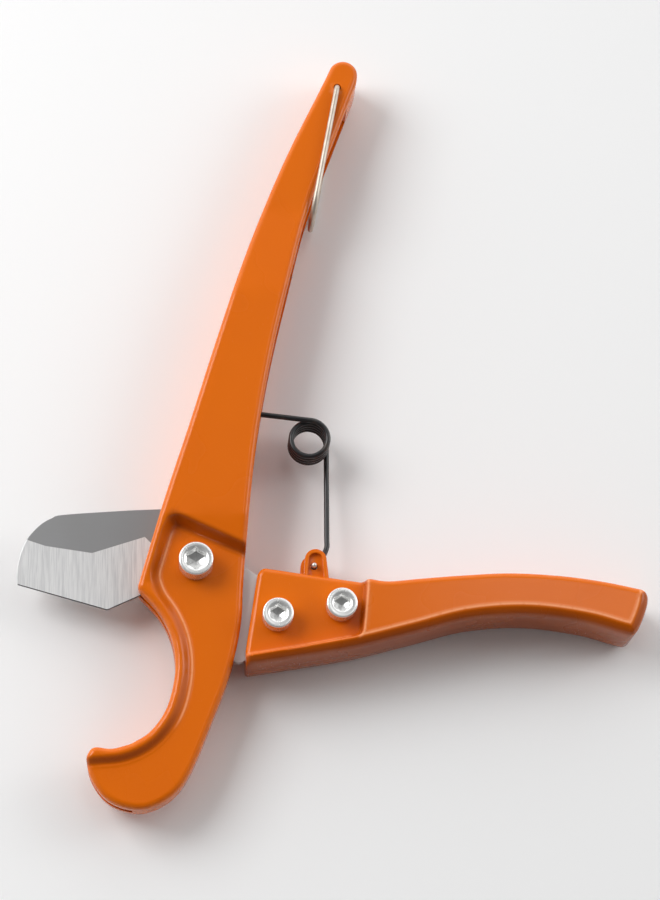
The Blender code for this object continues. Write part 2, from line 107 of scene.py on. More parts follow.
class Value:
    """A shader socket that takes part in arithmetic."""

    def __init__(self, finish: "Nodes", socket: bpy.types.NodeSocket) -> None:
        """Keeps the socket and the node builder that it belongs to."""
        self.finish = finish
        self.socket = socket

    def _maths(self, operation: str, *others: "Value | float") -> "Value":
        """Adds one Math node.

        Args:
            operation: The Math node's operation.
            others: Its inputs, in order.

        Returns:
            The node's result.
        """
        inputs = dict(enumerate(others))
        return self.finish.node("ShaderNodeMath", {"operation": operation}, inputs)

    def __add__(self, other: "Value | float") -> "Value":
        """The sum."""
        return self._maths("ADD", self, other)

    __radd__ = __add__

    def __mul__(self, other: "Value | float") -> "Value":
        """The product."""
        return self._maths("MULTIPLY", self, other)

    __rmul__ = __mul__

    def __rsub__(self, other: "Value | float") -> "Value":
        """The other, less this."""
        return self._maths("SUBTRACT", other, self)

    def ramp(self, low: float, high: float) -> "Value":
        """0 below low, 1 above high, and smooth between them."""
        settings = {"interpolation_type": "SMOOTHSTEP"}
        return self.finish.node("ShaderNodeMapRange", settings, {0: self, 1: low, 2: high})


class Nodes:
    """Builds one node tree around its shader: a material's, or the sky's."""

    def __init__(self, name: str, sky: bool = False) -> None:
        """Makes the material or the world with its shader.

        Args:
            name: Its name.
            sky: Whether it is the world.
        """
        self.material = (bpy.data.worlds if sky else bpy.data.materials).new(name)
        self.material.use_nodes = True
        self.tree = self.material.node_tree
        self.shader = self.tree.nodes["Background" if sky else "Principled BSDF"]

    def node(self, kind: str, settings: dict | None = None, inputs: dict | None = None,
             output: int | str = 0) -> Value:
        """Adds a node.

        Args:
            kind: The node's type.
            settings: Its properties, set first.
            inputs: The values or links of its sockets, by number or name.
            output: Which of its outputs to return.

        Returns:
            That output.
        """
        made = self.tree.nodes.new(kind)
        for key, value in (settings or {}).items():
            setattr(made, key, value)
        for key, value in (inputs or {}).items():
            self.feed(made.inputs[key], value)
        return Value(self, made.outputs[output])

    def feed(self, socket: bpy.types.NodeSocket, value: object) -> None:
        """Links a Value to the socket, or sets a number or colour on it.

        Args:
            socket: The socket.
            value: The Value, number or colour.
        """
        if isinstance(value, Value):
            self.tree.links.new(value.socket, socket)
        else:
            socket.default_value = value

    def place(self) -> Value:
        """Where the point is on its object, in metres."""
        return self.node("ShaderNodeTexCoord", output="Object")

    def attribute(self, name: str) -> Value:
        """A number stored on the mesh's vertices."""
        return self.node("ShaderNodeAttribute", {"attribute_name": name}, output="Fac")

    def stretched(self, place: Value, turn: float, scale: Sequence[float]) -> Value:
        """The place turned about Z by some degrees and scaled along each axis."""
        inputs = {"Rotation": (0, 0, math.radians(turn)), "Scale": tuple(scale)}
        return self.node("ShaderNodeMapping", {}, {0: place, **inputs})

    def noise(self, place: Value, scale: float, detail: float = 3.0) -> Value:
        """Fractal noise from 0 to 1, with that many cells to a metre."""
        inputs = {"Vector": place, "Scale": scale, "Detail": detail}
        return self.node("ShaderNodeTexNoise", {}, inputs)

    def mix(self, share: Value | float, one: object, two: object) -> Value:
        """The first colour where share is 0, the second where it is 1.

        Args:
            share: How much of the second colour shows.
            one: The first colour.
            two: The second colour.

        Returns:
            The mixed colour.
        """
        made = self.tree.nodes.new("ShaderNodeMix")
        made.data_type = "RGBA"
        self.feed(made.inputs["Factor"], share)
        self.feed(made.inputs[6], one)
        self.feed(made.inputs[7], two)
        return Value(self, made.outputs[2])

    def bump(self, height: Value, depth: float, strength: float = 1.0,
             under: Value | None = None) -> Value:
        """A normal bent by a height that is worth depth metres.

        Args:
            height: The height.
            depth: What a height of 1 is worth, in metres.
            strength: How strongly it shows.
            under: The normal to bend, if not the surface's own.

        Returns:
            The bent normal.
        """
        inputs = {"Height": height, "Distance": depth, "Strength": strength}
        if under is not None:
            inputs["Normal"] = under
        return self.node("ShaderNodeBump", {}, inputs, output="Normal")

    def set(self, **sockets: object) -> None:
        """Feeds the shader's sockets, named with underscores for spaces."""
        for name, value in sockets.items():
            self.feed(self.shader.inputs[name.replace("_", " ")], value)


def colour(red: float, green: float, blue: float) -> tuple[float, float, float, float]:
    """A linear colour with full alpha."""
    return (red, green, blue, 1.0)


@dataclass(frozen=True)
class Enamel:
    """Glossy orange paint over a die casting: wavy, with a parting line, rubbed edges and dust marks, and
    painted light and shade.

    `edge` is the colour of its rubbed edges, made lighter so that it also paints an edge highlight. A light
    peach paints a highlight line along the creases, and a dark brown paints shade on the slopes that face
    away from the light.
    """

    body: tuple = colour(0.74, 0.145, 0.001)
    deep: tuple = colour(0.67, 0.12, 0.0008)
    edge: tuple = colour(0.85, 0.23, 0.02)
    # Colour of the painted highlight line along the creases.
    highlight_colour: tuple = colour(0.98, 0.42, 0.2)
    # Colour of the painted shade on slopes that face away from the light.
    painted_shade: tuple = colour(0.3, 0.05, 0.0004)
    sheen: float = 0.24

    def make(self) -> bpy.types.Material:
        """Builds the material.

        Returns:
            The material.
        """
        nodes = Nodes(Slot.PAINT.value + "_finish")
        place = nodes.place()
        cloud = nodes.noise(place, 38, 2).ramp(0.32, 0.7)
        # Rubbed edge wear and a painted edge highlight: a lighter orange in patches along the rounded
        # edges.
        rubbed_and_highlit = nodes.attribute("edge") * nodes.noise(place, 420, 4).ramp(0.3, 0.75)
        paint = nodes.mix(cloud * 0.3, self.body, self.deep)
        paint = nodes.mix(rubbed_and_highlit * 0.5, paint, self.edge)
        # Painted shade: dark brown on the slopes and the round edges that face away from the light.
        paint = nodes.mix(nodes.attribute("painted_shade") * (cloud * 0.2 + 0.8), paint, self.painted_shade)
        # Painted highlight: a thin light line, broken in places, along the creases and round the bail's
        # hole.
        broken = nodes.noise(place, 700, 3).ramp(0.25, 0.5)
        paint = nodes.mix(nodes.attribute("painted_highlight") * (broken * 0.4 + 0.6), paint, self.highlight_colour)
        marks = nodes.noise(nodes.stretched(place, 24, (2600, 500, 500)), 1.0, 2).ramp(0.66, 0.76)
        peel = nodes.noise(place, 900, 2)
        waves = nodes.noise(place, 90, 1)
        height = nodes.node("ShaderNodeSeparateXYZ", {}, {0: place}, output=2)
        seam = height.ramp(0.00985, 0.00995) * (1 - height.ramp(0.01005, 0.01015))
        under = nodes.bump(seam, 0.00006, 0.6, nodes.bump(waves, 0.00005, 0.5))
        normal = nodes.bump(peel, 0.000012, 0.5, under)
        nodes.set(Base_Color=paint, Roughness=self.sheen + marks * 0.05 + cloud * 0.05, Normal=normal,
                  Coat_Weight=0.3, Coat_Roughness=0.05, Specular_IOR_Level=0.16)
        return nodes.material


@dataclass(frozen=True)
class GroundSteel:
    """A blade's steel: a dull rolled flat, a bright ground bevel with strokes across it, a dark edge, and
    painted light on the tail.
    """

    flat: tuple = colour(0.3, 0.3, 0.303)
    ground: tuple = colour(0.86, 0.86, 0.855)
    honed: tuple = colour(0.07, 0.07, 0.075)
    # Painted light: a pale grey for the tail between the handles, where their shade falls.
    painted_light_tail: tuple = colour(0.8, 0.8, 0.8)

    def make(self) -> bpy.types.Material:
        """Builds the material, from the attributes "bevel" and "honed" on the blade, and one that paints
        light on its tail.

        Returns:
            The material.
        """
        nodes = Nodes(Slot.BLADE.value + "_finish")
        place = nodes.place()
        bevel = nodes.attribute("bevel").ramp(0.4, 0.6)
        honed = nodes.attribute("honed").ramp(0.35, 0.65)
        wander = nodes.noise(place, 45, 2)
        fine = nodes.noise(nodes.stretched(place, -9, (4600, 170, 60)), 1.0, 3)
        coarse = nodes.noise(nodes.stretched(place, -13, (1500, 60, 60)), 1.0, 2)
        strokes = fine * 0.6 + coarse * 0.4
        rolled = nodes.noise(nodes.stretched(place, 2, (120, 1500, 120)), 1.0, 3)
        stain = nodes.noise(place, 60, 3).ramp(0.4, 0.8)
        bright = nodes.mix(strokes.ramp(0.3, 0.65), colour(0.66, 0.66, 0.665), self.ground)
        dull = nodes.mix(stain * 0.3, self.flat, colour(0.27, 0.267, 0.26))
        # Painted light: the tail between the handles is lightened to pale grey against the shade that falls
        # there.
        dull = nodes.mix(nodes.attribute("painted_light_tail") * (0.85 + stain * 0.15), dull, self.painted_light_tail)
        steel = nodes.mix(honed, nodes.mix(bevel, dull, bright), self.honed)
        scratched = nodes.bump(strokes, 0.00002, 0.6)
        normal = nodes.bump(rolled * (1 - bevel), 0.000006, 0.5, scratched)
        nodes.set(Base_Color=steel, Metallic=0.8 - bevel * 0.35, Normal=normal,
                  Roughness=0.4 - bevel * 0.06 + rolled * 0.06 + wander * 0.06)
        return nodes.material


@dataclass(frozen=True)
class Plating:
    """Bright zinc plating with faint turning marks and a few dull spots."""

    bright: tuple = colour(0.93, 0.93, 0.92)
    dull: tuple = colour(0.78, 0.78, 0.76)

    def make(self) -> bpy.types.Material:
        """Builds the material.

        Returns:
            The material.
        """
        nodes = Nodes(Slot.PLATED.value + "_finish")
        place = nodes.place()
        spots = nodes.noise(place, 900, 4).ramp(0.58, 0.8)
        marks = nodes.noise(nodes.stretched(place, 0, (900, 900, 4200)), 1.0, 2)
        nodes.set(Base_Color=nodes.mix(spots, self.bright, self.dull), Metallic=0.72,
                  Roughness=0.2 + spots * 0.15 + marks * 0.06, Normal=nodes.bump(marks, 0.000008, 0.5))
        return nodes.material


@dataclass(frozen=True)
class DullWire:
    """Plain drawn wire with a warm, dull plating and faint patches."""

    pale: tuple = colour(0.62, 0.55, 0.47)
    warm: tuple = colour(0.5, 0.42, 0.34)

    def make(self) -> bpy.types.Material:
        """Builds the material.

        Returns:
            The material.
        """
        nodes = Nodes("plated_wire_finish")
        place = nodes.place()
        patches = nodes.noise(place, 260, 3).ramp(0.4, 0.75)
        grain = nodes.noise(place, 2600, 2)
        nodes.set(Base_Color=nodes.mix(patches, self.pale, self.warm), Metallic=0.6 + patches * 0.1,
                  Roughness=0.36 + patches * 0.08, Normal=nodes.bump(grain, 0.000004, 0.4))
        return nodes.material


@dataclass(frozen=True)
class BlackOxide:
    """Oiled black spring wire: satin, with draw marks and thin brown patches."""

    black: tuple = colour(0.018, 0.018, 0.02)
    brown: tuple = colour(0.05, 0.04, 0.034)
    bare: tuple = colour(0.7, 0.69, 0.66)

    def make(self) -> bpy.types.Material:
        """Builds the material.

        Returns:
            The material.
        """
        nodes = Nodes(Slot.SPRING.value + "_finish")
        place = nodes.place()
        patches = nodes.noise(place, 300, 4).ramp(0.5, 0.8)
        grain = nodes.noise(place, 3500, 2)
        bare = nodes.attribute("bare").ramp(0.4, 0.6)
        wire = nodes.mix(bare, nodes.mix(patches, self.black, self.brown), self.bare)
        nodes.set(Base_Color=wire, Metallic=0.3 + bare * 0.5,
                  Roughness=0.3 + patches * 0.2, Normal=nodes.bump(grain, 0.00001, 0.4),
                  Coat_Weight=0.25, Coat_Roughness=0.15)
        return nodes.material


# --------------------------------------------------------------------------- curves and surfaces


def smooth_curve(points: Sequence[Sequence[float]], steps: int) -> np.ndarray:
    """Points on the Catmull-Rom curve through some others.

    Each span between b and c is the cubic that passes through both, with slopes (c - a) / 2 and
    (d - b) / 2 there, where a and d are the points before and after.

    Args:
        points: The points to pass through.
        steps: How many points each span gives.

    Returns:
        The curve, an array with a row for each point.
    """
    p = np.array(points, float)
    p = np.vstack([2 * p[0] - p[1], p, 2 * p[-1] - p[-2]])
    a, b, c, d = (p[i:len(p) - 3 + i, None, :] for i in range(4))
    t = (np.arange(steps) / steps)[None, :, None]
    square, cube = 2 * a - 5 * b + 4 * c - d, 3 * b - a - 3 * c + d
    spans = 0.5 * (2 * b + (c - a) * t + square * t**2 + cube * t**3)
    return np.vstack([spans.reshape(-1, p.shape[1]), p[-2]])


def arc(centre: Sequence[float], radius: float, start: float, end: float, steps: int) -> np.ndarray:
    """Points on a circle from one angle to another, in degrees."""
    angle = np.radians(np.linspace(start, end, steps + 1))
    return np.column_stack([centre[0] + radius * np.cos(angle), centre[1] + radius * np.sin(angle)])


def disc(centre: Sequence[float], radius: float, sides: int) -> np.ndarray:
    """The corners of a round hole, anticlockwise."""
    return arc(centre, radius, 0, 360 - 360 / sides, sides - 1)


def even(loop: np.ndarray, spacing: float, softened: float = 0.0) -> np.ndarray:
    """A closed line walked in equal steps, with its corners softened.

    Softening is a moving average along the line, over a window of that length.

    Args:
        loop: The corners of the closed line.
        spacing: The step's rough length.
        softened: The window's length.

    Returns:
        The new points.
    """
    closed = np.vstack([loop, loop[:1]])
    run = np.concatenate([[0], np.cumsum(np.hypot(*np.diff(closed, axis=0).T))])
    count = int(run[-1] / spacing)
    at = np.arange(count) * run[-1] / count
    found = np.column_stack([np.interp(at, run, closed[:, k]) for k in (0, 1)])
    half = int(round(softened / spacing / 2))
    if half:
        found = np.mean([np.roll(found, k, axis=0) for k in range(-half, half + 1)], axis=0)
    return found


def loop_normals(loop: np.ndarray) -> np.ndarray:
    """The directions that point into an anticlockwise loop, at each of its points.

    Args:
        loop: The loop, anticlockwise.

    Returns:
        One unit direction for each point.
    """
    along = np.roll(loop, -1, axis=0) - np.roll(loop, 1, axis=0)
    along /= np.linalg.norm(along, axis=1)[:, None]
    return np.column_stack([-along[:, 1], along[:, 0]])


def sideways(line: np.ndarray, shift: float) -> np.ndarray:
    """The open line moved square to itself, to the left of its direction where shift is positive.

    Args:
        line: The line.
        shift: How far to move it.

    Returns:
        The moved line.
    """
    along = np.gradient(line, axis=0)
    along /= np.linalg.norm(along, axis=1)[:, None]
    return line + np.column_stack([-along[:, 1], along[:, 0]]) * shift


def distance(points: np.ndarray, line: np.ndarray, closed: bool = True) -> np.ndarray:
    """How far each point is from a line of straight pieces.

    The nearest place on a piece is its foot point, held between the piece's two ends.

    Args:
        points: Spots seen from the front.
        line: The line.
        closed: Whether the line runs back to its first point.

    Returns:
        One distance for each point.
    """
    ends = np.vstack([line, line[:1]]) if closed else line
    a, span = ends[:-1], np.diff(ends, axis=0)
    length = np.maximum((span**2).sum(1), 1e-12)
    nearest = np.full(len(points), np.inf)
    for part in np.array_split(np.arange(len(points)), max(1, len(points) // 2000)):
        offset = points[part, None, :] - a[None]
        share = np.clip((offset * span).sum(2) / length, 0, 1)
        nearest[part] = np.linalg.norm(offset - share[..., None] * span, axis=2).min(1)
    return nearest


def inside(points: np.ndarray, loop: np.ndarray) -> np.ndarray:
    """Whether each point is inside the loop: a ray to the right crosses it an odd number of times.

    Args:
        points: Spots seen from the front.
        loop: The loop, anticlockwise.

    Returns:
        One truth value for each point.
    """
    x, y = points[:, :1], points[:, 1:]
    a, b = loop, np.roll(loop, -1, axis=0)
    rising = (a[:, 1] > y) != (b[:, 1] > y)
    drop = np.where(b[:, 1] == a[:, 1], 1e-12, b[:, 1] - a[:, 1])
    crossing = a[:, 0] + (y - a[:, 1]) * (b[:, 0] - a[:, 0]) / drop
    return ((rising & (x < crossing)).sum(1) % 2).astype(bool)


def signed(points: np.ndarray, loop: np.ndarray) -> np.ndarray:
    """Distance to the loop, negative inside it."""
    return distance(points, loop) * np.where(inside(points, loop), -1, 1)


def smoothstep(value: float | np.ndarray, low: float, high: float) -> float | np.ndarray:
    """0 below low, 1 above high, and 3t^2 - 2t^3 between them."""
    t = np.clip((value - low) / (high - low), 0, 1)
    return t * t * (3 - 2 * t)


def rounding(away: np.ndarray, radius: float) -> np.ndarray:
    """How far a rounded edge has dropped at a distance d from it: r - sqrt(r^2 - (r - d)^2)."""
    return radius - np.sqrt(np.maximum(radius**2 - np.maximum(radius - away, 0) ** 2, 0))


def ridge(value: np.ndarray, middle: float, width: float) -> np.ndarray:
    """A bell that is 1 where the value is at its middle: exp(-((v - m) / w)^2)."""
    return np.exp(-(((value - middle) / width) ** 2))


def grid_faces(rows: int, columns: int, close_columns: bool) -> np.ndarray:
    """The four-sided faces of a grid of points kept row by row.

    Args:
        rows: The number of rows.
        columns: The number of points in a row.
        close_columns: Whether the last column joins the first.

    Returns:
        Each face's four point numbers.
    """
    across = columns if close_columns else columns - 1
    i, j = np.meshgrid(np.arange(rows - 1), np.arange(across), indexing="ij")
    k = (j + 1) % columns
    faces = [i * columns + j, i * columns + k, (i + 1) * columns + k, (i + 1) * columns + j]
    return np.stack(faces, axis=-1).reshape(-1, 4)


@dataclass
class Shape:
    """A mesh in the making: points in millimetres from the pivot, and faces."""

    points: np.ndarray
    faces: list


def capped_grid(rings: np.ndarray) -> Shape:
    """A closed surface from rings of points, with a fan at each end.

    Args:
        rings: The rings in order, each a row of points.

    Returns:
        The closed surface.
    """
    rows, columns, _ = rings.shape
    points = np.vstack([rings.reshape(-1, 3), rings[0].mean(0), rings[-1].mean(0)])
    faces = grid_faces(rows, columns, True).tolist()
    here = np.arange(columns)
    after = (here + 1) % columns
    low, high = rows * columns, rows * columns + 1
    last = (rows - 1) * columns
    faces += np.column_stack([np.full(columns, low), after, here]).tolist()
    faces += np.column_stack([np.full(columns, high), last + here, last + after]).tolist()
    return Shape(points, faces)


def tube(path: np.ndarray, radius: float, sides: int = 16) -> Shape:
    """A round tube carried along a path, with domed ends.

    Each ring lies square to the path. Its first spoke is the last ring's spoke, made square to the new
    direction, so the rings never twist. The domes add rings whose radius falls as a circle's does.

    Args:
        path: The points of the centre line.
        radius: The tube's radius.
        sides: The number of points in a ring.

    Returns:
        The closed surface.
    """
    dome = np.radians([75, 50, 25])
    tips = [path[0] - path[1], path[-1] - path[-2]]
    tips = [tip / np.linalg.norm(tip) for tip in tips]
    front = [path[0] + tips[0] * radius * math.sin(a) for a in dome]
    back = [path[-1] + tips[1] * radius * math.sin(a) for a in dome[::-1]]
    line = np.vstack([front, path, back])
    capped = radius * np.cos(dome)
    radii = np.concatenate([capped, np.full(len(path), radius), capped[::-1]])
    along = np.gradient(line, axis=0)
    along /= np.linalg.norm(along, axis=1)[:, None]
    spoke = np.cross(along[0], ASKEW)
    spokes = []
    for direction in along:
        spoke = spoke - direction * (spoke @ direction)
        spoke = spoke / np.linalg.norm(spoke)
        spokes.append(spoke)
    one = np.array(spokes)[:, None, :]
    two = np.cross(along, np.array(spokes))[:, None, :]
    turn = np.linspace(0, 2 * math.pi, sides, endpoint=False)[None, :, None]
    rings = line[:, None, :] + radii[:, None, None] * (one * np.cos(turn) + two * np.sin(turn))
    return capped_grid(rings)


def prism(loop: np.ndarray, low: float, high: float) -> Shape:
    """The loop between two heights.

    Args:
        loop: The loop, anticlockwise.
        low: The height of its rear end.
        high: The height of its front end.

    Returns:
        The closed surface.
    """
    count = len(loop)
    flat = [np.column_stack([loop, np.full(count, z)]) for z in (low, high)]
    faces = [list(range(count))[::-1], list(range(count, 2 * count))]
    faces += grid_faces(2, count, True).tolist()
    return Shape(np.vstack(flat), faces)


# --------------------------------------------------------------------------- pieces


@dataclass
class Place:
    """Turns millimetres from the pivot into the frame's metres."""

    pivot: np.ndarray

    def world(self, points: np.ndarray) -> np.ndarray:
        """The points in metres."""
        return np.asarray(points, float) * MM + self.pivot

    def mesh(self, name: str, shape: Shape) -> bpy.types.Object:
        """An object at the origin, with its place in its mesh and its faces outwards.

        Args:
            name: Its name.
            shape: Its shape.

        Returns:
            The object.
        """
        mesh = bpy.data.meshes.new(name)
        mesh.from_pydata(self.world(shape.points).tolist(), [], [list(face) for face in shape.faces])
        mesh.update()
        made = bpy.data.objects.new(name, mesh)
        bpy.context.scene.collection.objects.link(made)
        return made


def evaluated(obj: bpy.types.Object) -> None:
    """Replaces the object's mesh with what its modifiers make of it.

    Args:
        obj: The object.
    """
    bpy.context.view_layer.update()
    graph = bpy.context.evaluated_depsgraph_get()
    mesh = bpy.data.meshes.new_from_object(obj.evaluated_get(graph))
    obj.modifiers.clear()
    obj.data = mesh


def combine(obj: bpy.types.Object, other: bpy.types.Object, operation: str = "DIFFERENCE") -> None:
    """Cuts the other object out of this one, or joins it, and removes the other.

    Args:
        obj: The object.
        other: The object to cut out or join.
        operation: The Boolean's operation.
    """
    modifier = obj.modifiers.new("combine", "BOOLEAN")
    modifier.operation = operation
    modifier.object = other
    modifier.solver = "MANIFOLD"
    evaluated(obj)
    bpy.data.objects.remove(other)


def finish_piece(obj: bpy.types.Object, finish: bpy.types.Material,
                 sharp: float = 40.0) -> None:
    """Gives the piece its material and its shading.

    Args:
        obj: The piece.
        finish: Its material.
        sharp: The angle in degrees above which an edge is shaded as sharp.
    """
    obj.data.materials.clear()
    obj.data.materials.append(finish)
    obj.data.shade_smooth()
    obj.data.set_sharp_from_angle(angle=math.radians(sharp))


@dataclass
class Casting:
    """A painted casting: two faces that are heights over an outline, and a wall between them."""

    place: Place
    finish: bpy.types.Material
    edge_round: float = 1.7
    fillet: float = 1.5
    spacing: float = 0.75
    skirt: tuple = (1.95, 2.7)
    bead: float = 1.2
    step: float = 0.27

    def face_points(self, outline: np.ndarray, steps: Sequence[np.ndarray]) -> np.ndarray:
        """The points that a face needs.

        There are rows beside the outline, closer together towards it as a round edge needs, rows on
        both sides of each step line, and a coarse even grid between them.

        Args:
            outline: The outline, anticlockwise.
            steps: The step lines.

        Returns:
            The points strictly inside the outline.
        """
        inward = loop_normals(outline)
        angles = np.radians([18, 36, 54, 72, 90])
        depths = np.append(self.edge_round * (1 - np.cos(angles)), self.skirt)
        rows = [outline + inward * d for d in depths]
        rows = [row[distance(row, outline) > d * 0.97] for row, d in zip(rows, depths)]
        reach = self.fillet + self.bead
        for line in steps:
            across = loop_normals(line)
            shifts = np.linspace(-reach, reach, 2 * round(reach / self.step) + 1)
            shifts = np.concatenate([[-reach - 1.1], shifts, [reach + 1.1]])
            rows += [line + across * shift for shift in shifts]
        low, high = outline.min(0), outline.max(0)
        x, y = np.meshgrid(*[np.arange(low[k], high[k], GRID) for k in (0, 1)])
        grid = np.column_stack([x.ravel(), y.ravel()])
        near = np.vstack(rows)
        clear = distance(grid, outline) > depths[-1] + 0.9
        for line in steps:
            clear &= distance(grid, line) > reach + 2.0
        points = np.vstack([near, grid[clear]])
        return points[inside(points, outline) & (distance(points, outline) > 0.04)]

    def body(self, name: str, outline: np.ndarray, steps: Sequence[np.ndarray],
             height: Callable[[np.ndarray], np.ndarray],
             marks: dict[str, Callable[[np.ndarray], np.ndarray]] | None = None) -> bpy.types.Object:
        """The solid before its hollows are cut.

        A face's height at a point is height(point), less r - sqrt(r^2 - (r - d)^2) where the distance d
        to the outline is below the edge radius r.

        Args:
            name: The object's name.
            outline: The outline, anticlockwise.
            steps: The step lines.
            height: Gives the height of points on the front face; the rear face mirrors it.
            marks: Attributes to store, each with a function that works out its value at points.

        Returns:
            The object, with an attribute "edge" that is 1 at its rounded edges, and the marks.
        """
        count = len(outline)
        flat = np.vstack([outline, self.face_points(outline, steps)])
        filled = delaunay_2d_cdt([Vector(p) for p in flat], [], [list(range(count))], 1, 1e-5)
        spots = np.array([tuple(v) for v in filled[0]])
        origin = {source: k for k, sources in enumerate(filled[3]) for source in sources}
        rim = np.array([origin[k] for k in range(count)])
        away = distance(spots, outline)
        z = height(spots) - rounding(away, self.edge_round)
        front = np.column_stack([spots, z])
        rear = np.column_stack([spots, -z])
        triangles = [list(face) for face in filled[2]]
        total = len(spots)
        faces = triangles + [[k + total for k in face[::-1]] for face in triangles]
        after = np.roll(rim, -1)
        faces += np.column_stack([rim, rim + total, after + total, after]).tolist()
        obj = self.place.mesh(name, Shape(np.vstack([front, rear]), faces))
        values = {"edge": np.exp(-((away / 0.8) ** 2))}
        values.update({key: work(spots) for key, work in (marks or {}).items()})
        for key, value in values.items():
            stored = obj.data.attributes.new(key, "FLOAT", "POINT").data
            stored.foreach_set("value", np.tile(value, 2).astype(np.float32))
        return obj

    def cut(self, obj: bpy.types.Object, loop: Sequence, high: float, low: float | None = None) -> None:
        """Cuts a loop out of the casting.

        Args:
            obj: The casting.
            loop: The loop, anticlockwise.
            high: The height of the cut's front end.
            low: The height of its rear end; as far behind the middle as its front is before it if left out.
        """
        low = -high if low is None else low
        combine(obj, self.place.mesh("hollow", prism(np.asarray(loop, float), low, high)))


@dataclass
class FixedHandle(Casting):
    """The fixed handle with its hooked jaw."""

    outer: tuple = ((40.4, 154.8), (27.9, 128.4), (16.8, 100.4), (6.6, 69.3), (-1.6, 42.7), (-8.7, 20.5),
                    (-17.1, -7.3))
    inner: tuple = ((50.9, 155.2), (43.8, 136.6), (35.0, 112.4), (28.8, 88.7), (23.3, 65.5), (19.1, 42.8),
                    (16.2, 20.5))
    back: tuple = ((14.0, -3.8), (13.0, -18.2), (9.7, -32.5), (4.4, -46.5), (-1.4, -60.3), (-6.5, -67.6),
                   (-13.9, -71.6))
    hook: tuple = ((-20.5, -71.3), (-26.2, -68.4), (-30.2, -62.6), (-31.6, -57.0))
    nose: tuple = ((-29.4, -54.1), (-24.3, -54.6), (-18.7, -53.2))
    tip_centre: tuple = (46.7, 157.9)
    tip_radius: float = 4.5
    tip_angles: tuple = (165, -12)
    step_top: tuple = ((30.0, -3.0), (-6.5, 13.4))
    seat: tuple = ((-13.4, -49.8), (-8.9, -43.6), (-6.6, -35.8), (-6.1, -28.8), (-7.5, -21.1),
                   (-11.2, -13.9))
    rim_width: float = 3.2
    rim_rows: tuple = (-4.0, 11.0)
    seat_top: float = -9.5
    nose_end: float = -26.0
    panel_foot: tuple = ((-36.0, -58.6), (-44.0, -84.0), (30.0, -84.0))
    web: float = 3.0
    thickness: tuple = ((-90.0, 7.0), (-6.0, 7.0), (14.0, 10.0), (84.0, 10.0), (111.0, 7.9),
                        (170.0, 7.9))
    panel_half: float = 5.2
    blade_slot: tuple = ((-14.0, 19.0), (-2.9, 19.0), (-2.2, 14.4), (2.9, 14.4), (3.4, 21.0), (26.0, 21.0),
                         (26.0, -33.2), (9.4, -33.4), (5.0, -38.0), (-6.5, -58.0), (-19.0, -72.5),
                         (-21.0, -78.0), (-46.0, -78.0), (-46.0, 19.0))
    channel_foot: tuple = ((24.0, 4.8), (6.4, 11.6), (6.4, 25.0))
    channel_side: float = 80.0
    narrow_channel: tuple = (147.0, 5.0)
    wide_channel: tuple = (95.0, 7.0)
    washer_seat: tuple = (7.9, 2.2)
    pivot_bore: float = 4.3
    bail_hole: tuple = (44.7, 152.9)
    bail_bore: float = 1.15

    def outline(self) -> np.ndarray:
        """The whole outline, anticlockwise.

        Returns:
            The outline's points, in even steps.
        """
        parts = [smooth_curve(self.outer[::-1], 12)[1:],
                 arc(self.tip_centre, self.tip_radius, *self.tip_angles, 24),
                 smooth_curve(self.inner + self.back + self.hook, 10),
                 smooth_curve((self.hook[-1],) + self.nose, 8)[1:],
                 smooth_curve((self.nose[-1],) + self.seat + self.outer[-1:], 12)[1:]]
        return even(np.vstack(parts)[::-1], self.spacing, 1.6)

    def panel(self) -> np.ndarray:
        """The line of the step round the sunk face of the jaw, anticlockwise.

        Returns:
            The line's points, in even steps.
        """
        rim = sideways(smooth_curve(self.outer[-3:], 12), self.rim_width)
        low, high = self.rim_rows
        rim = rim[(rim[:, 1] < high) & (rim[:, 1] > low)]
        seat = smooth_curve(self.outer[-1:] + self.seat[::-1] + self.nose[::-1], 12)
        seat = sideways(seat, self.rim_width)
        seat = seat[(seat[:, 1] < self.seat_top) & (seat[:, 0] > self.nose_end)]
        return even(np.vstack([rim, seat, self.panel_foot, self.step_top])[::-1], self.spacing, 4.0)

    def height(self, points: np.ndarray) -> np.ndarray:
        """The front face: the thickness along Y, sunk to the panel inside the step line.

        Args:
            points: Spots seen from the front.

        Returns:
            The height at each spot.
        """
        y, half = np.array(self.thickness).T
        full = np.interp(points[:, 1], y, half)
        away = signed(points, self.panel())
        outside = smoothstep(away, -self.fillet, self.fillet)
        bead = 0.12 * ridge(away, -self.fillet - 0.2, 0.4)
        return self.panel_half + (full - self.panel_half) * outside + bead

    def painted_highlight(self, points: np.ndarray) -> np.ndarray:
        """Where a painted highlight line runs: at the foot of the step, but not under its top or in the
        hook, and round the bail's hole.

        Args:
            points: Spots seen from the front.

        Returns:
            The mark at each spot, from 0 to 1.
        """
        top = distance(points, np.array(self.step_top), closed=False)
        low = smoothstep(points[:, 1], -50.0, -44.0)
        foot = ridge(signed(points, self.panel()), -self.fillet - 0.2, 0.27)
        lip = ridge(np.linalg.norm(points - self.bail_hole, axis=1), 1.6, 0.3) * 0.8
        return np.maximum(0.9 * foot * low * smoothstep(top, 2.2, 4.5), lip)

    def painted_shade(self, points: np.ndarray) -> np.ndarray:
        """Where shade is painted: on the sloping top of the step, and on its slope in the hook.

        Args:
            points: Spots seen from the front.

        Returns:
            The mark at each spot, from 0 to 1.
        """
        top = 1 - smoothstep(distance(points, np.array(self.step_top), closed=False), 0.8, 2.6)
        slope = ridge(signed(points, self.panel()), 0.0, 1.1)
        hook = 1 - smoothstep(points[:, 1], -50.0, -42.0)
        return np.maximum(top * 0.75, slope * (0.35 + hook * 0.35))

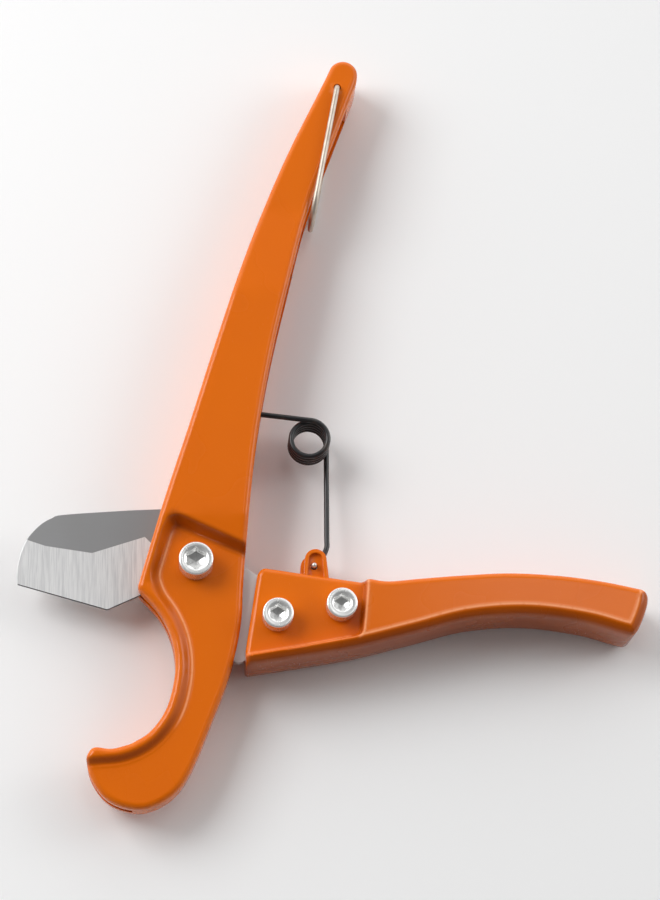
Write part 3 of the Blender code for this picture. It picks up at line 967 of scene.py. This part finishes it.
    def hollow(self, top: float) -> np.ndarray:
        """The channel's loop up to a height: it follows the outer web and opens to the right.

        Args:
            top: The height along Y where it ends.

        Returns:
            The loop, anticlockwise.
        """
        web = sideways(smooth_curve(self.outer, 12), self.web)
        web = web[(web[:, 1] > 30.0) & (web[:, 1] < top - 2)]
        side, low = self.channel_side, self.channel_foot[0][1]
        end = [(web[0, 0] + 1.2, top), (side, top), (side, low)]
        return np.vstack([self.channel_foot, web[::-1], end])[::-1]

    def build(self) -> bpy.types.Object:
        """Makes the casting and cuts its slot, channel and holes.

        Returns:
            The casting.
        """
        marks = {"painted_highlight": self.painted_highlight, "painted_shade": self.painted_shade}
        body = self.body("fixed_handle_casting", self.outline(), [self.panel()], self.height, marks)
        self.cut(body, self.blade_slot[::-1], SLOT_HALF)
        for top, half in (self.narrow_channel, self.wide_channel):
            self.cut(body, self.hollow(top), half)
        radius, half = self.washer_seat
        self.cut(body, disc(PIVOT, radius, 72), half)
        self.cut(body, disc(PIVOT, self.pivot_bore, 36), THROUGH)
        self.cut(body, disc(self.bail_hole, self.bail_bore, 18), THROUGH)
        return body

    def dress(self, body: bpy.types.Object) -> None:
        """Paints the casting and hangs it on its body.

        Args:
            body: The casting.
        """
        finish_piece(body, self.finish)
        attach(body, Body.FIXED.value)
        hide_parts("fixed_jaw_handle")


@dataclass
class MovingHandle(Casting):
    """The moving handle, with its clamp pads and its two spring lugs."""

    top: tuple = ((50.6, -5.6), (56.0, -6.4), (65.8, -5.6), (78.0, -4.7), (92.0, -4.1), (107.0, -5.0),
                  (120.0, -6.9))
    end: tuple = ((131.4, -9.4), (132.6, -12.2), (130.6, -18.2), (127.8, -22.6), (124.4, -22.2))
    below: tuple = ((112.8, -18.9), (96.5, -16.8), (79.5, -17.9), (63.1, -22.0), (46.3, -26.1),
                    (29.6, -28.9))
    corners: tuple = ((14.4, -31.2), (14.2, -26.5), (18.0, -3.0), (19.6, -1.3), (49.0, -5.9))
    pad: tuple = ((2.0, 12.0), (2.0, -30.1), (15.0, -28.0), (30.0, -25.6), (47.8, -22.4), (49.4, -8.0),
                  (49.2, 12.0))
    full_half: float = 10.0
    pad_half: float = 6.5
    bottom_round: float = 3.2
    fillet: float = 0.75
    bead: float = 0.5
    step: float = 0.18
    skirt: tuple = (2.2, 2.7, 3.0, 3.2, 3.45, 4.2)
    web: float = 3.0
    lug_radius: float = 3.2
    lug_rise: float = 1.8
    lug_foot: float = -8.0
    lug_rim: float = 1.15
    lug_sunk: float = 1.2
    lug_bevel: float = 0.45
    lugs: tuple = ((2.0, 6.0, 0.5), (-6.0, -2.0, -0.3))
    lug_bore: float = 1.1
    blade_slot: tuple = ((4.0, 8.0), (4.0, -33.5), (14.0, -28.9), (19.4, -26.3), (50.0, -21.6),
                         (50.0, 8.0))
    channel_ends: tuple = (54.0, 124.0)
    channel_mouth: tuple = ((54.0, 8.0), (126.0, 8.0), (126.0, -18.5))
    channel_half: float = 7.0
    arm_slot: tuple = ((37.5, 8.0), (37.5, -7.0), (40.0, -8.6), (55.5, -8.6), (55.5, 8.0))
    arm_half: float = 4.0
    spot_face: float = 5.9
    spot_depths: tuple = (-7.5, -5.2)

    def outline(self) -> np.ndarray:
        """The whole outline, anticlockwise.

        Returns:
            The outline's points, in even steps.
        """
        parts = [self.corners[1:], smooth_curve(self.top + self.end[:1], 10),
                 smooth_curve(self.end, 8)[1:-1],
                 smooth_curve(self.end[-1:] + self.below + self.corners[:1], 10)]
        return even(np.vstack(parts)[::-1], self.spacing, 1.6)

    def pad_line(self) -> np.ndarray:
        """The line of the step round the sunk pad, anticlockwise."""
        return even(np.array(self.pad), self.spacing, 2.4)

    def height(self, points: np.ndarray) -> np.ndarray:
        """The front face: full over the grip, sunk over the pad, rounder along the bottom and the end.

        Args:
            points: Spots seen from the front.

        Returns:
            The height at each spot.
        """
        outside = smoothstep(signed(points, self.pad_line()), -self.fillet, self.fillet)
        away = distance(points, self.bottom(), closed=False)
        rounder = rounding(away, self.bottom_round) - rounding(away, self.edge_round)
        return self.pad_half + (self.full_half - self.pad_half) * outside - rounder * outside

    def bottom(self) -> np.ndarray:
        """The handle's end and lower edge."""
        below = smooth_curve(self.end[-1:] + self.below + self.corners[:1], 10)
        return np.vstack([smooth_curve(self.end, 8)[8:-1], below])

    def painted_highlight(self, points: np.ndarray) -> np.ndarray:
        """Where a painted highlight line runs: along the round lower edge, and at both ends of the pad's
        step.

        Args:
            points: Spots seen from the front.

        Returns:
            The mark at each spot, from 0 to 1.
        """
        low = ridge(distance(points, self.bottom(), closed=False), self.bottom_round, 0.3)
        away = signed(points, self.pad_line())
        side = smoothstep(points[:, 0], 46.5, 48.0) * ridge(away, self.fillet, 0.35)
        foot = smoothstep(-points[:, 0], -46.0, -44.0) * ridge(away, -self.fillet, 0.3)
        return np.maximum(low * smoothstep(away, -0.4, 0.3), np.maximum(side, foot * 0.5)) * 0.85

    def painted_shade(self, points: np.ndarray) -> np.ndarray:
        """Where shade is painted: on the round lower edge, and on the step beside the grip.

        Args:
            points: Spots seen from the front.

        Returns:
            The mark at each spot, from 0 to 1.
        """
        low = distance(points, self.bottom(), closed=False)
        away = signed(points, self.pad_line())
        band = (1 - smoothstep(low, 2.1, 3.0)) * smoothstep(away, -0.4, 0.5)
        side = smoothstep(points[:, 0], 46.5, 48.0) * ridge(away, 0.0, 0.9)
        return np.maximum(band * 0.85, side * 0.6)

    def ear(self, low: float, high: float, shift: float) -> bpy.types.Object:
        """One spring lug, a round-topped plate with a raised rim round its sunk face.

        Args:
            low: The height of its rear face.
            high: The height of its front face.
            shift: How far its crown stands to the right of the hole.

        Returns:
            The lug, with its edges rounded.
        """
        middle = (LUG_HOLE[0] + shift, LUG_HOLE[1] + self.lug_rise)
        crown = arc(middle, self.lug_radius, 0, 180, 24)
        foot = [(crown[-1, 0] - 0.5, self.lug_foot), (crown[0, 0] + 0.9, self.lug_foot)]
        loop = even(np.vstack([crown, foot]), 0.5)
        made = self.place.mesh("lug", prism(loop, low, high))
        sunk = np.vstack([arc(middle, self.lug_radius - self.lug_rim, 0, 180, 16), foot])
        sunk[-2:, 0] += (1.0, -1.4)
        face = high if high > 0 else low
        self.cut(made, sunk, face + self.lug_sunk, face - self.lug_sunk)
        bevel = made.modifiers.new("round", "BEVEL")
        bevel.width = self.lug_bevel * MM
        bevel.segments = 3
        bevel.limit_method = "ANGLE"
        bevel.angle_limit = math.radians(50)
        evaluated(made)
        return made

    def build(self) -> bpy.types.Object:
        """Makes the casting, adds the lugs and cuts its slot, channel and holes.

        Returns:
            The casting.
        """
        marks = {"painted_highlight": self.painted_highlight, "painted_shade": self.painted_shade}
        body = self.body("moving_handle_casting", self.outline(), [self.pad_line()], self.height, marks)
        for lug in self.lugs:
            combine(body, self.ear(*lug), "UNION")
        self.cut(body, self.blade_slot, SLOT_HALF)
        floor = sideways(smooth_curve(self.end[-1:] + self.below, 10), -self.web)
        left, right = self.channel_ends
        floor = floor[(floor[:, 0] > left) & (floor[:, 0] < right)]
        self.cut(body, np.vstack([floor, self.channel_mouth])[::-1], self.channel_half)
        self.cut(body, self.arm_slot, self.arm_half)
        low, high = self.spot_depths
        for centre in CLAMPS.values():
            self.cut(body, disc(centre, CLAMP_BORE, 36), THROUGH)
            self.cut(body, disc(centre, self.spot_face, 72), high, low)
        self.cut(body, disc(LUG_HOLE, self.lug_bore, 24), THROUGH)
        return body

    def dress(self, body: bpy.types.Object) -> None:
        """Paints the casting and hangs it on its body.

        Args:
            body: The casting.
        """
        finish_piece(body, self.finish)
        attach(body, Body.MOVING.value)
        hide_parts("moving_handle")


@dataclass
class Blade(Casting):
    """The blade: a flat plate, ground from a bent line to its edge, with a tail for the clamps."""

    edge_round: float = 0.12
    fillet: float = 0.25
    bead: float = 0.0
    step: float = 0.25
    spacing: float = 0.5
    skirt: tuple = (0.22, 0.34, 0.7)
    back: tuple = ((-2.9, 18.2), (-19.3, 17.6), (-38.4, 16.3), (-42.3, 15.2), (-45.9, 12.9))
    tip: tuple = ((-49.5, 8.6), (-51.5, 3.4), (-52.2, -1.0), (-52.1, -4.8))
    edge: tuple = ((-52.1, -4.8), (-25.8, -12.6), (-12.5, -6.6))
    grind: tuple = ((-55.0, 10.0), (-49.5, 8.6), (-44.0, 6.7), (-30.4, 4.5), (-14.9, 9.4), (-8.0, 2.0))
    grind_end: tuple = (-9.0, -6.4)
    hub: float = 11.0
    hub_low: tuple = (216, 292)
    hub_high: tuple = (12, 104.7)
    tail: tuple = ((5.5, -15.0), (9.6, -26.0), (10.4, -27.7), (11.7, -28.8), (13.0, -28.7), (14.4, -28.0),
                   (19.0, -25.6), (47.5, -21.0), (48.0, -9.0), (21.0, -4.6), (16.0, -1.0))
    half: float = 1.1
    edge_half: float = 0.2
    bore: float = 4.3

    def outline(self) -> np.ndarray:
        """The whole outline, anticlockwise.

        Returns:
            The outline's points, in even steps.
        """
        rounded = smooth_curve(self.back[1:] + self.tip, 8)
        parts = [self.back[:1], rounded, self.edge[1:], [self.grind_end],
                 arc(PIVOT, self.hub, *self.hub_low, 16), self.tail,
                 arc(PIVOT, self.hub, *self.hub_high, 20)]
        return even(np.vstack(parts), self.spacing)

    def ground(self) -> np.ndarray:
        """The outline of the bevel, anticlockwise."""
        below = [(-12.0, -20.0), (-60.0, -20.0), (-60.0, 10.0)]
        return even(np.vstack([self.grind, below])[::-1], self.spacing)

    def height(self, points: np.ndarray) -> np.ndarray:
        """Half the thickness: full on the flat, and falling evenly from the grind line to the edge.

        The share of the fall is the distance to the edge over the sum of the distances to both lines.

        Args:
            points: Spots seen from the front.

        Returns:
            The height at each spot.
        """
        to_edge = distance(points, np.array(self.edge), closed=False)
        to_line = distance(points, np.array(self.grind), closed=False)
        share = to_edge / (to_edge + to_line + 1e-6)
        sloped = self.edge_half + (self.half - self.edge_half) * share
        return np.where(inside(points, self.ground()), sloped, self.half)

    def honed(self, points: np.ndarray) -> np.ndarray:
        """1 on the narrow strip along the cutting edge, and 0 away from it."""
        return 1 - smoothstep(distance(points, np.array(self.edge), closed=False), 0.15, 0.36)

    def build(self) -> bpy.types.Object:
        """Makes the blade and drills it.

        Returns:
            The blade.
        """
        marks = {"bevel": lambda spots: smoothstep(-signed(spots, self.ground()), -0.12, 0.12),
                 "honed": self.honed,
                 # Painted light on the tail, to the right of x = 6 mm, where the handles' shade falls.
                 "painted_light_tail": lambda spots: smoothstep(spots[:, 0], 6.0, 14.0)}
        body = self.body("ground_blade", self.outline(), [self.ground()], self.height, marks)
        self.cut(body, disc(PIVOT, self.bore, 36), THROUGH)
        for centre in CLAMPS.values():
            self.cut(body, disc(centre, CLAMP_BORE, 36), THROUGH)
        return body

    def dress(self, body: bpy.types.Object) -> None:
        """Gives the blade its steel and hangs it on its body.

        Args:
            body: The blade.
        """
        finish_piece(body, self.finish, 25)
        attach(body, Body.MOVING.value)
        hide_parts("blade")


@dataclass
class SocketScrew:
    """A socket head cap screw with its thread and hexagon socket, and its nut."""

    place: Place
    finish: bpy.types.Material
    name: str
    body: Body
    centre: tuple
    seat: float
    shank: float
    head: float
    height: float
    socket: float
    across: float
    end: float = -9.9
    nut_top: float = -6.75
    nut_height: float = 3.0
    thread_top: float = -4.0
    thread_depth: float = 0.32
    pitch: float = 0.9
    soft: float = 0.45
    teeth: int = 48
    sides: int = 192

    def hexagon(self, turn: np.ndarray, half: float) -> np.ndarray:
        """How far a hexagon's side is from its centre, at each angle."""
        third = math.pi / 3
        return half / np.cos((turn + third / 2) % third - third / 2)

    def surface(self, rows: Sequence[tuple]) -> Shape:
        """A closed surface turned about the centre.

        Args:
            rows: A radius and a height for each ring, each a number or an array over the angles.

        Returns:
            The surface.
        """
        turn = np.linspace(0, 2 * math.pi, self.sides, endpoint=False)
        rings = []
        for radius, z in rows:
            x = self.centre[0] + radius * np.cos(turn)
            y = self.centre[1] + radius * np.sin(turn)
            rings.append(np.column_stack([x, y, np.broadcast_to(z, x.shape)]))
        return capped_grid(np.array(rings))

    def screw(self) -> Shape:
        """The screw: a thread whose radius is a wave that climbs one pitch a turn, shank and head.

        Returns:
            The closed surface.
        """
        turn = np.linspace(0, 2 * math.pi, self.sides, endpoint=False)
        low = self.seat + GAP
        top = low + self.height
        end, shank, head, soft = self.end, self.shank, self.head, self.soft
        rows = [(0.15, end), (shank - 0.6, end)]
        for z in np.arange(end + 0.3, self.thread_top, 0.12):
            wave = 0.5 + 0.5 * np.cos(2 * math.pi * z / self.pitch - turn)
            runs_out = smoothstep(z, self.thread_top - 0.8, self.thread_top - 0.1)
            shallow = smoothstep(z, end, end + 0.9) * (1 - runs_out)
            point = 0.35 * (1 - smoothstep(z, end, end + 0.8))
            rows.append((shank - self.thread_depth * wave * shallow - point, z))
        rows += [(shank, self.thread_top + 0.1), (shank, low - 0.02), (shank + 0.1, low)]
        rows += [(head - 0.25, low)]
        knurl = 0.06 * (0.5 - 0.5 * np.cos(self.teeth * turn))
        corner = np.radians([30, 60, 90])
        rows += [(head - 0.25 + 0.25 * math.sin(a), low + 0.25 - 0.25 * math.cos(a)) for a in corner]
        rows += [(head, low + 0.45), (head - knurl, low + 0.6)]
        rows += [(head - knurl, top - soft - 0.35), (head, top - soft - 0.2)]
        rows += [(head - soft + soft * math.cos(a), top - soft + soft * math.sin(a))
                 for a in np.radians(np.linspace(0, 90, 7))]
        key = self.hexagon(turn, self.socket / 2)
        mouth = np.full_like(turn, self.socket / 2 / math.cos(math.pi / 6) + 0.15)
        rows += [(mouth + 0.25, top), (mouth, top - 0.12), (key + 0.06, top - 0.45), (key, top - 0.6)]
        floor = top - self.height * 0.6
        rows += [(key, floor + 0.2), (key - 0.12, floor)]
        rows += [(key * 0.55, floor - 0.25), (0.12, floor - 0.7)]
        return self.surface(rows)

    def nut(self) -> Shape:
        """The nut: a hexagon whose corners are cut back by a cone at both ends, round its bore.

        Returns:
            The closed surface.
        """
        turn = np.linspace(0, 2 * math.pi, self.sides, endpoint=False)
        side = self.hexagon(turn, self.across / 2)
        flat = self.across / 2 * 0.97
        back = (side - flat) * 0.55
        top, low = self.nut_top, self.nut_top - self.nut_height
        bore = self.shank + 0.12
        rows = [(bore, top - 0.4), (bore + 0.45, top), (flat, top), (side, top - back),
                (side, low + back), (flat, low), (bore + 0.45, low), (bore, low + 0.4)]
        count = self.sides
        faces = grid_faces(len(rows), count, True)
        here = np.arange(count)
        after = (here + 1) % count
        last = (len(rows) - 1) * count
        closing = np.column_stack([last + here, last + after, after, here])
        return Shape(self.surface(rows).points[:-2], np.vstack([faces, closing]).tolist())

    def build(self) -> list[bpy.types.Object]:
        """Makes the screw and the nut.

        Returns:
            The screw and the nut.
        """
        screw = self.place.mesh(f"{self.name}_cap_screw", self.screw())
        nut = self.place.mesh(f"{self.name}_hex_nut", self.nut())
        return [screw, nut]

    def dress(self, pieces: list[bpy.types.Object]) -> None:
        """Plates the pieces and hangs them on their body.

        Args:
            pieces: The screw and the nut.
        """
        for piece, node in zip(pieces, ("screw", "nut")):
            turned_outwards(piece)
            finish_piece(piece, self.finish, 30)
            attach(piece, self.body.value)
            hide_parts(f"{self.name}_{node}")


def turned_outwards(obj: bpy.types.Object) -> None:
    """Flips the mesh if its volume comes out negative, so that its faces point outwards.

    Args:
        obj: The object.
    """
    mesh = obj.data
    mesh.calc_loop_triangles()
    points = np.empty(len(mesh.vertices) * 3, np.float32)
    mesh.vertices.foreach_get("co", points)
    corners = np.empty(len(mesh.loop_triangles) * 3, np.int32)
    mesh.loop_triangles.foreach_get("vertices", corners)
    p = points.reshape(-1, 3)[corners].reshape(-1, 3, 3).astype(float)
    if np.einsum("ij,ij->i", p[:, 0], np.cross(p[:, 1], p[:, 2])).sum() < 0:
        mesh.flip_normals()


@dataclass
class TorsionSpring:
    """The black spring that opens the handles, one wire with a coil and two arms."""

    place: Place
    finish: bpy.types.Material
    wire: float = 0.8
    coil: float = 5.5
    centre: tuple = (34.2, 39.3)
    front: float = 3.7
    depth: float = 9.0
    lean: float = 0.35
    upper_turn: float = 173.0
    upper_length: float = 28.0
    turns: float = 4.235
    bends: tuple = ((4.35, 9.4, -0.9), (4.3, 7.4, -0.8), (3.5, 5.3, -0.6), (2.2, 3.2, -0.4),
                    (0.9, 1.2, 0.1), (0.15, 0.2, 1.2), (0.0, 0.0, 2.8), (0.0, 0.0, 6.2))

    def path(self) -> np.ndarray:
        """The wire's centre line: a straight arm, a helix that falls evenly, and a bent arm.

        Returns:
            The centre line's points.
        """
        start = self.upper_turn - 90
        turn = np.radians(start - 360 * self.turns * np.linspace(0, 1, int(self.turns * 40)))
        drop = self.front - self.depth * np.linspace(0, 1, len(turn))
        round_it = np.column_stack([np.cos(turn), np.sin(turn)]) * self.coil + self.centre
        helix = np.column_stack([round_it, drop])
        a = math.radians(self.upper_turn)
        tip = helix[0] + self.upper_length * np.array([math.cos(a), math.sin(a), 0])
        arm = tip + (helix[0] - tip) * np.linspace(0, 1, 24)[:-1, None]
        bends = np.array(self.bends) + (*LUG_HOLE, 0)
        straight = helix[-1] + (bends[0] - helix[-1]) * np.linspace(0, 1, 30)[1:-1, None]
        lower = smooth_curve(bends.tolist(), 8)
        return np.vstack([arm, helix, straight, lower])

    def build(self) -> bpy.types.Object:
        """Makes the wire, and marks where its cut end is bare.

        Returns:
            The wire.
        """
        shape = tube(self.path(), self.wire, 14)
        spring = self.place.mesh("return_spring_wire", shape)
        near = np.linalg.norm(shape.points - (*LUG_HOLE, self.bends[-1][2]), axis=1)
        bare = (near < self.wire + 0.3).astype(np.float32)
        spring.data.attributes.new("bare", "FLOAT", "POINT").data.foreach_set("value", bare)
        return spring

    def dress(self, spring: bpy.types.Object) -> None:
        """Blackens the wire, bakes its place into its mesh and hides the CAD arms.

        It works out the ends of a bend through the thickness of the coil, which leans towards the upper arm
        so that all of the lower arm, with its raised end, lies before the start, but does not use them.

        Args:
            spring: The wire.
        """
        turned_outwards(spring)
        finish_piece(spring, self.finish, 60)
        first = np.array([*self.centre, self.front - self.depth])
        reach = (self.depth + self.lean * self.coil) / (1 + self.lean**2)
        start = self.place.world(first)
        end = self.place.world(first + np.array([0.0, self.lean, 1.0]) * reach)
        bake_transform(spring)
        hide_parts("spring_upper_arm", "spring_lower_arm")


@dataclass
class WireBail:
    """The loop at the fixed handle's tip that holds the closed handles together."""

    place: Place
    finish: bpy.types.Material
    hole: tuple = (44.7, 152.9)
    end: tuple = (36.0, 108.9)
    wire: float = 0.85
    half: float = 9.05
    corner: float = 1.8
    hooked: float = 5.6

    def path(self) -> np.ndarray:
        """The wire's centre line: in through the cheek, down a leg, round the bow and back.

        Returns:
            The centre line's points.
        """
        reach = np.subtract(self.end, self.hole)
        length = float(np.linalg.norm(reach))
        straight = length - self.half
        bend = np.radians(np.linspace(0, 90, 8))
        corner, half = self.corner, self.half
        inner = np.column_stack([corner * (1 - np.cos(bend)), half - corner * (1 - np.sin(bend))])
        leg = np.column_stack([np.linspace(corner + 2, straight, 16), np.full(16, half)])
        side = np.vstack([[(0, self.hooked)], inner, leg])
        sweep = np.radians(np.linspace(0, 180, 32))[1:-1]
        bow = np.column_stack([straight + half * np.sin(sweep), half * np.cos(sweep)])
        flat = np.vstack([side, bow, side[::-1] * (1, -1)])
        spots = self.hole + flat[:, :1] * (reach / length)
        return np.column_stack([spots, flat[:, 1]])

    def build(self) -> bpy.types.Object:
        """Makes the wire."""
        return self.place.mesh("latch_bail_wire", tube(self.path(), self.wire, 16))

    def dress(self, bail: bpy.types.Object) -> None:
        """Plates the wire and hangs it on its body.

        Args:
            bail: The wire.
        """
        turned_outwards(bail)
        finish_piece(bail, self.finish, 60)
        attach(bail, Body.BAIL.value)
        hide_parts("wire_bail")


@dataclass
class Studio:
    """A pale floor, a sky, soft lights and the camera.

    `behind` and `above` are where the sky's light rises and falls, by the direction's Y and Z. `sheet` is
    the strength of a narrow bright panel in it, which stands between two pairs of directions in X, Y and Z.
    """

    aim: np.ndarray
    reach: float = 0.75
    tilt: float = 72.0
    swing: float = 4.0
    lens: float = 100.0
    sensor: float = 36.0
    ground: float = -0.0004
    power: float = 1.42
    front: float = 0.15
    behind: tuple = (-0.6, 0.4)
    above: tuple = (0.5, 0.95)
    dimmed: float = 0.88
    sheet: float = 2.6
    sheet_left: tuple = (0.07, 0.15)
    sheet_right: tuple = (0.16, 0.3)
    sheet_low: tuple = (0.1, 0.2)
    sheet_high: tuple = (0.36, 0.46)
    sheet_up: tuple = (0.8, 0.9)
    lights: list = field(default_factory=lambda: [
        ((-0.6, 0.3, 0.6), 0.5, 4.4), ((0.8, 0.2, 0.5), 0.4, 1.4)])

    def floor(self) -> None:
        """A wide plain floor, a little below the handles."""
        side = np.linspace(-3, 3, 13)
        x, y = np.meshgrid(side, side)
        points = np.column_stack([x.ravel(), y.ravel(), np.full(x.size, self.ground)])
        mesh = bpy.data.meshes.new("floor")
        mesh.from_pydata(points.tolist(), [], grid_faces(len(side), len(side), False).tolist())
        floor = bpy.data.objects.new("floor", mesh)
        bpy.context.scene.collection.objects.link(floor)
        nodes = Nodes("floor_paper")
        nodes.set(Base_Color=colour(0.93, 0.93, 0.93), Roughness=0.85)
        mesh.materials.append(nodes.material)

    def light(self) -> None:
        """A sky that is bright behind the cutter and dim in front and overhead, and two soft lamps."""
        nodes = Nodes("studio", sky=True)
        axes = nodes.node("ShaderNodeSeparateXYZ", {}, {0: nodes.node("ShaderNodeTexCoord")})
        across, ahead, up = [Value(nodes, axes.socket.node.outputs[k]) for k in range(3)]
        rise = ahead.ramp(*self.behind) * (1 - self.front) + self.front
        dome = 1 - up.ramp(*self.above) * self.dimmed
        sheet = across.ramp(*self.sheet_left) * (1 - across.ramp(*self.sheet_right))
        sheet = sheet * up.ramp(*self.sheet_up)
        sheet = sheet * (1 - ahead.ramp(*self.sheet_high)) * ahead.ramp(*self.sheet_low)
        strength = rise * dome * self.power + sheet * self.sheet
        nodes.set(Color=colour(1.0, 1.0, 1.0), Strength=strength)
        bpy.context.scene.world = nodes.material
        for number, (spot, size, power) in enumerate(self.lights):
            lamp = bpy.data.lights.new(f"softbox_{number}", "AREA")
            lamp.size = size
            lamp.energy = power
            made = bpy.data.objects.new(lamp.name, lamp)
            made.location = spot
            made.rotation_euler = (-Vector(spot)).to_track_quat("-Z", "Y").to_euler()
            bpy.context.scene.collection.objects.link(made)

    def camera(self) -> None:
        """The camera looks down at the cutter, tipped back and swung a little to the left."""
        tilt, swing = math.radians(self.tilt), math.radians(self.swing)
        ahead = Vector((math.sin(swing), math.cos(tilt), -math.sin(tilt))).normalized()
        right = (Vector((1, 0, 0)) - ahead * ahead.x).normalized()
        up = right.cross(ahead)
        turned = Matrix((right, up, -ahead)).transposed().to_4x4()
        data = bpy.data.cameras.new("camera")
        data.lens = self.lens
        data.sensor_width = self.sensor
        camera = bpy.data.objects.new("camera", data)
        turned.translation = Vector(self.aim) - ahead * self.reach
        camera.matrix_world = turned
        bpy.context.scene.collection.objects.link(camera)
        bpy.context.scene.camera = camera


@dataclass
class Hardware:
    """The CAD nodes that are shown as they are, each with its finish."""

    nodes: dict
    plated: bpy.types.Material
    names: tuple = ("pivot_lock_washer", "pivot_sleeve", "bearing_washer_front", "bearing_washer_rear",
                    "clamp_inner_lock_washer", "clamp_outer_lock_washer")

    def dress(self) -> None:
        """Gives the washers and the sleeve their finish."""
        for name in self.names:
            self.nodes[name].data.materials.clear()
            self.nodes[name].data.materials.append(self.plated)


def main() -> None:
    """Builds the cutter's looks, piece by piece, and reports each one."""
    logging.basicConfig(level=logging.INFO, format="%(name)s: %(message)s")
    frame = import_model()
    low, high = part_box("pivot_sleeve")
    place = Place(np.array((low + high) / 2))
    bpy.context.scene.view_settings.view_transform = "Standard"

    paint = Enamel().make()
    plated = Plating().make()
    Hardware(frame["nodes"], plated).dress()

    steel = GroundSteel().make()
    for casting in (FixedHandle(place, paint), MovingHandle(place, paint), Blade(place, steel)):
        made = casting.build()
        casting.dress(made)
        LOG.info("%s: %d faces", made.name, len(made.data.polygons))

    screws = [SocketScrew(place, plated, "pivot", Body.FIXED, PIVOT, seat=5.2, shank=3.0, head=5.0,
                          height=6.0, socket=5.6, across=10.0)]
    screws += [SocketScrew(place, plated, name, Body.MOVING, centre, seat=6.5, shank=2.5, head=4.5,
                           height=5.0, socket=4.4, across=8.0) for name, centre in CLAMPS.items()]
    for screw in screws:
        screw.dress(screw.build())
        LOG.info("%s screw and nut", screw.name)

    for piece in (TorsionSpring(place, BlackOxide().make()), WireBail(place, DullWire().make())):
        made = piece.build()
        piece.dress(made)
        LOG.info("%s: %d faces", made.name, len(made.data.polygons))

    studio = Studio(place.world(AIM))
    studio.floor()
    studio.light()
    studio.camera()


if __name__ == "__main__":
    main()
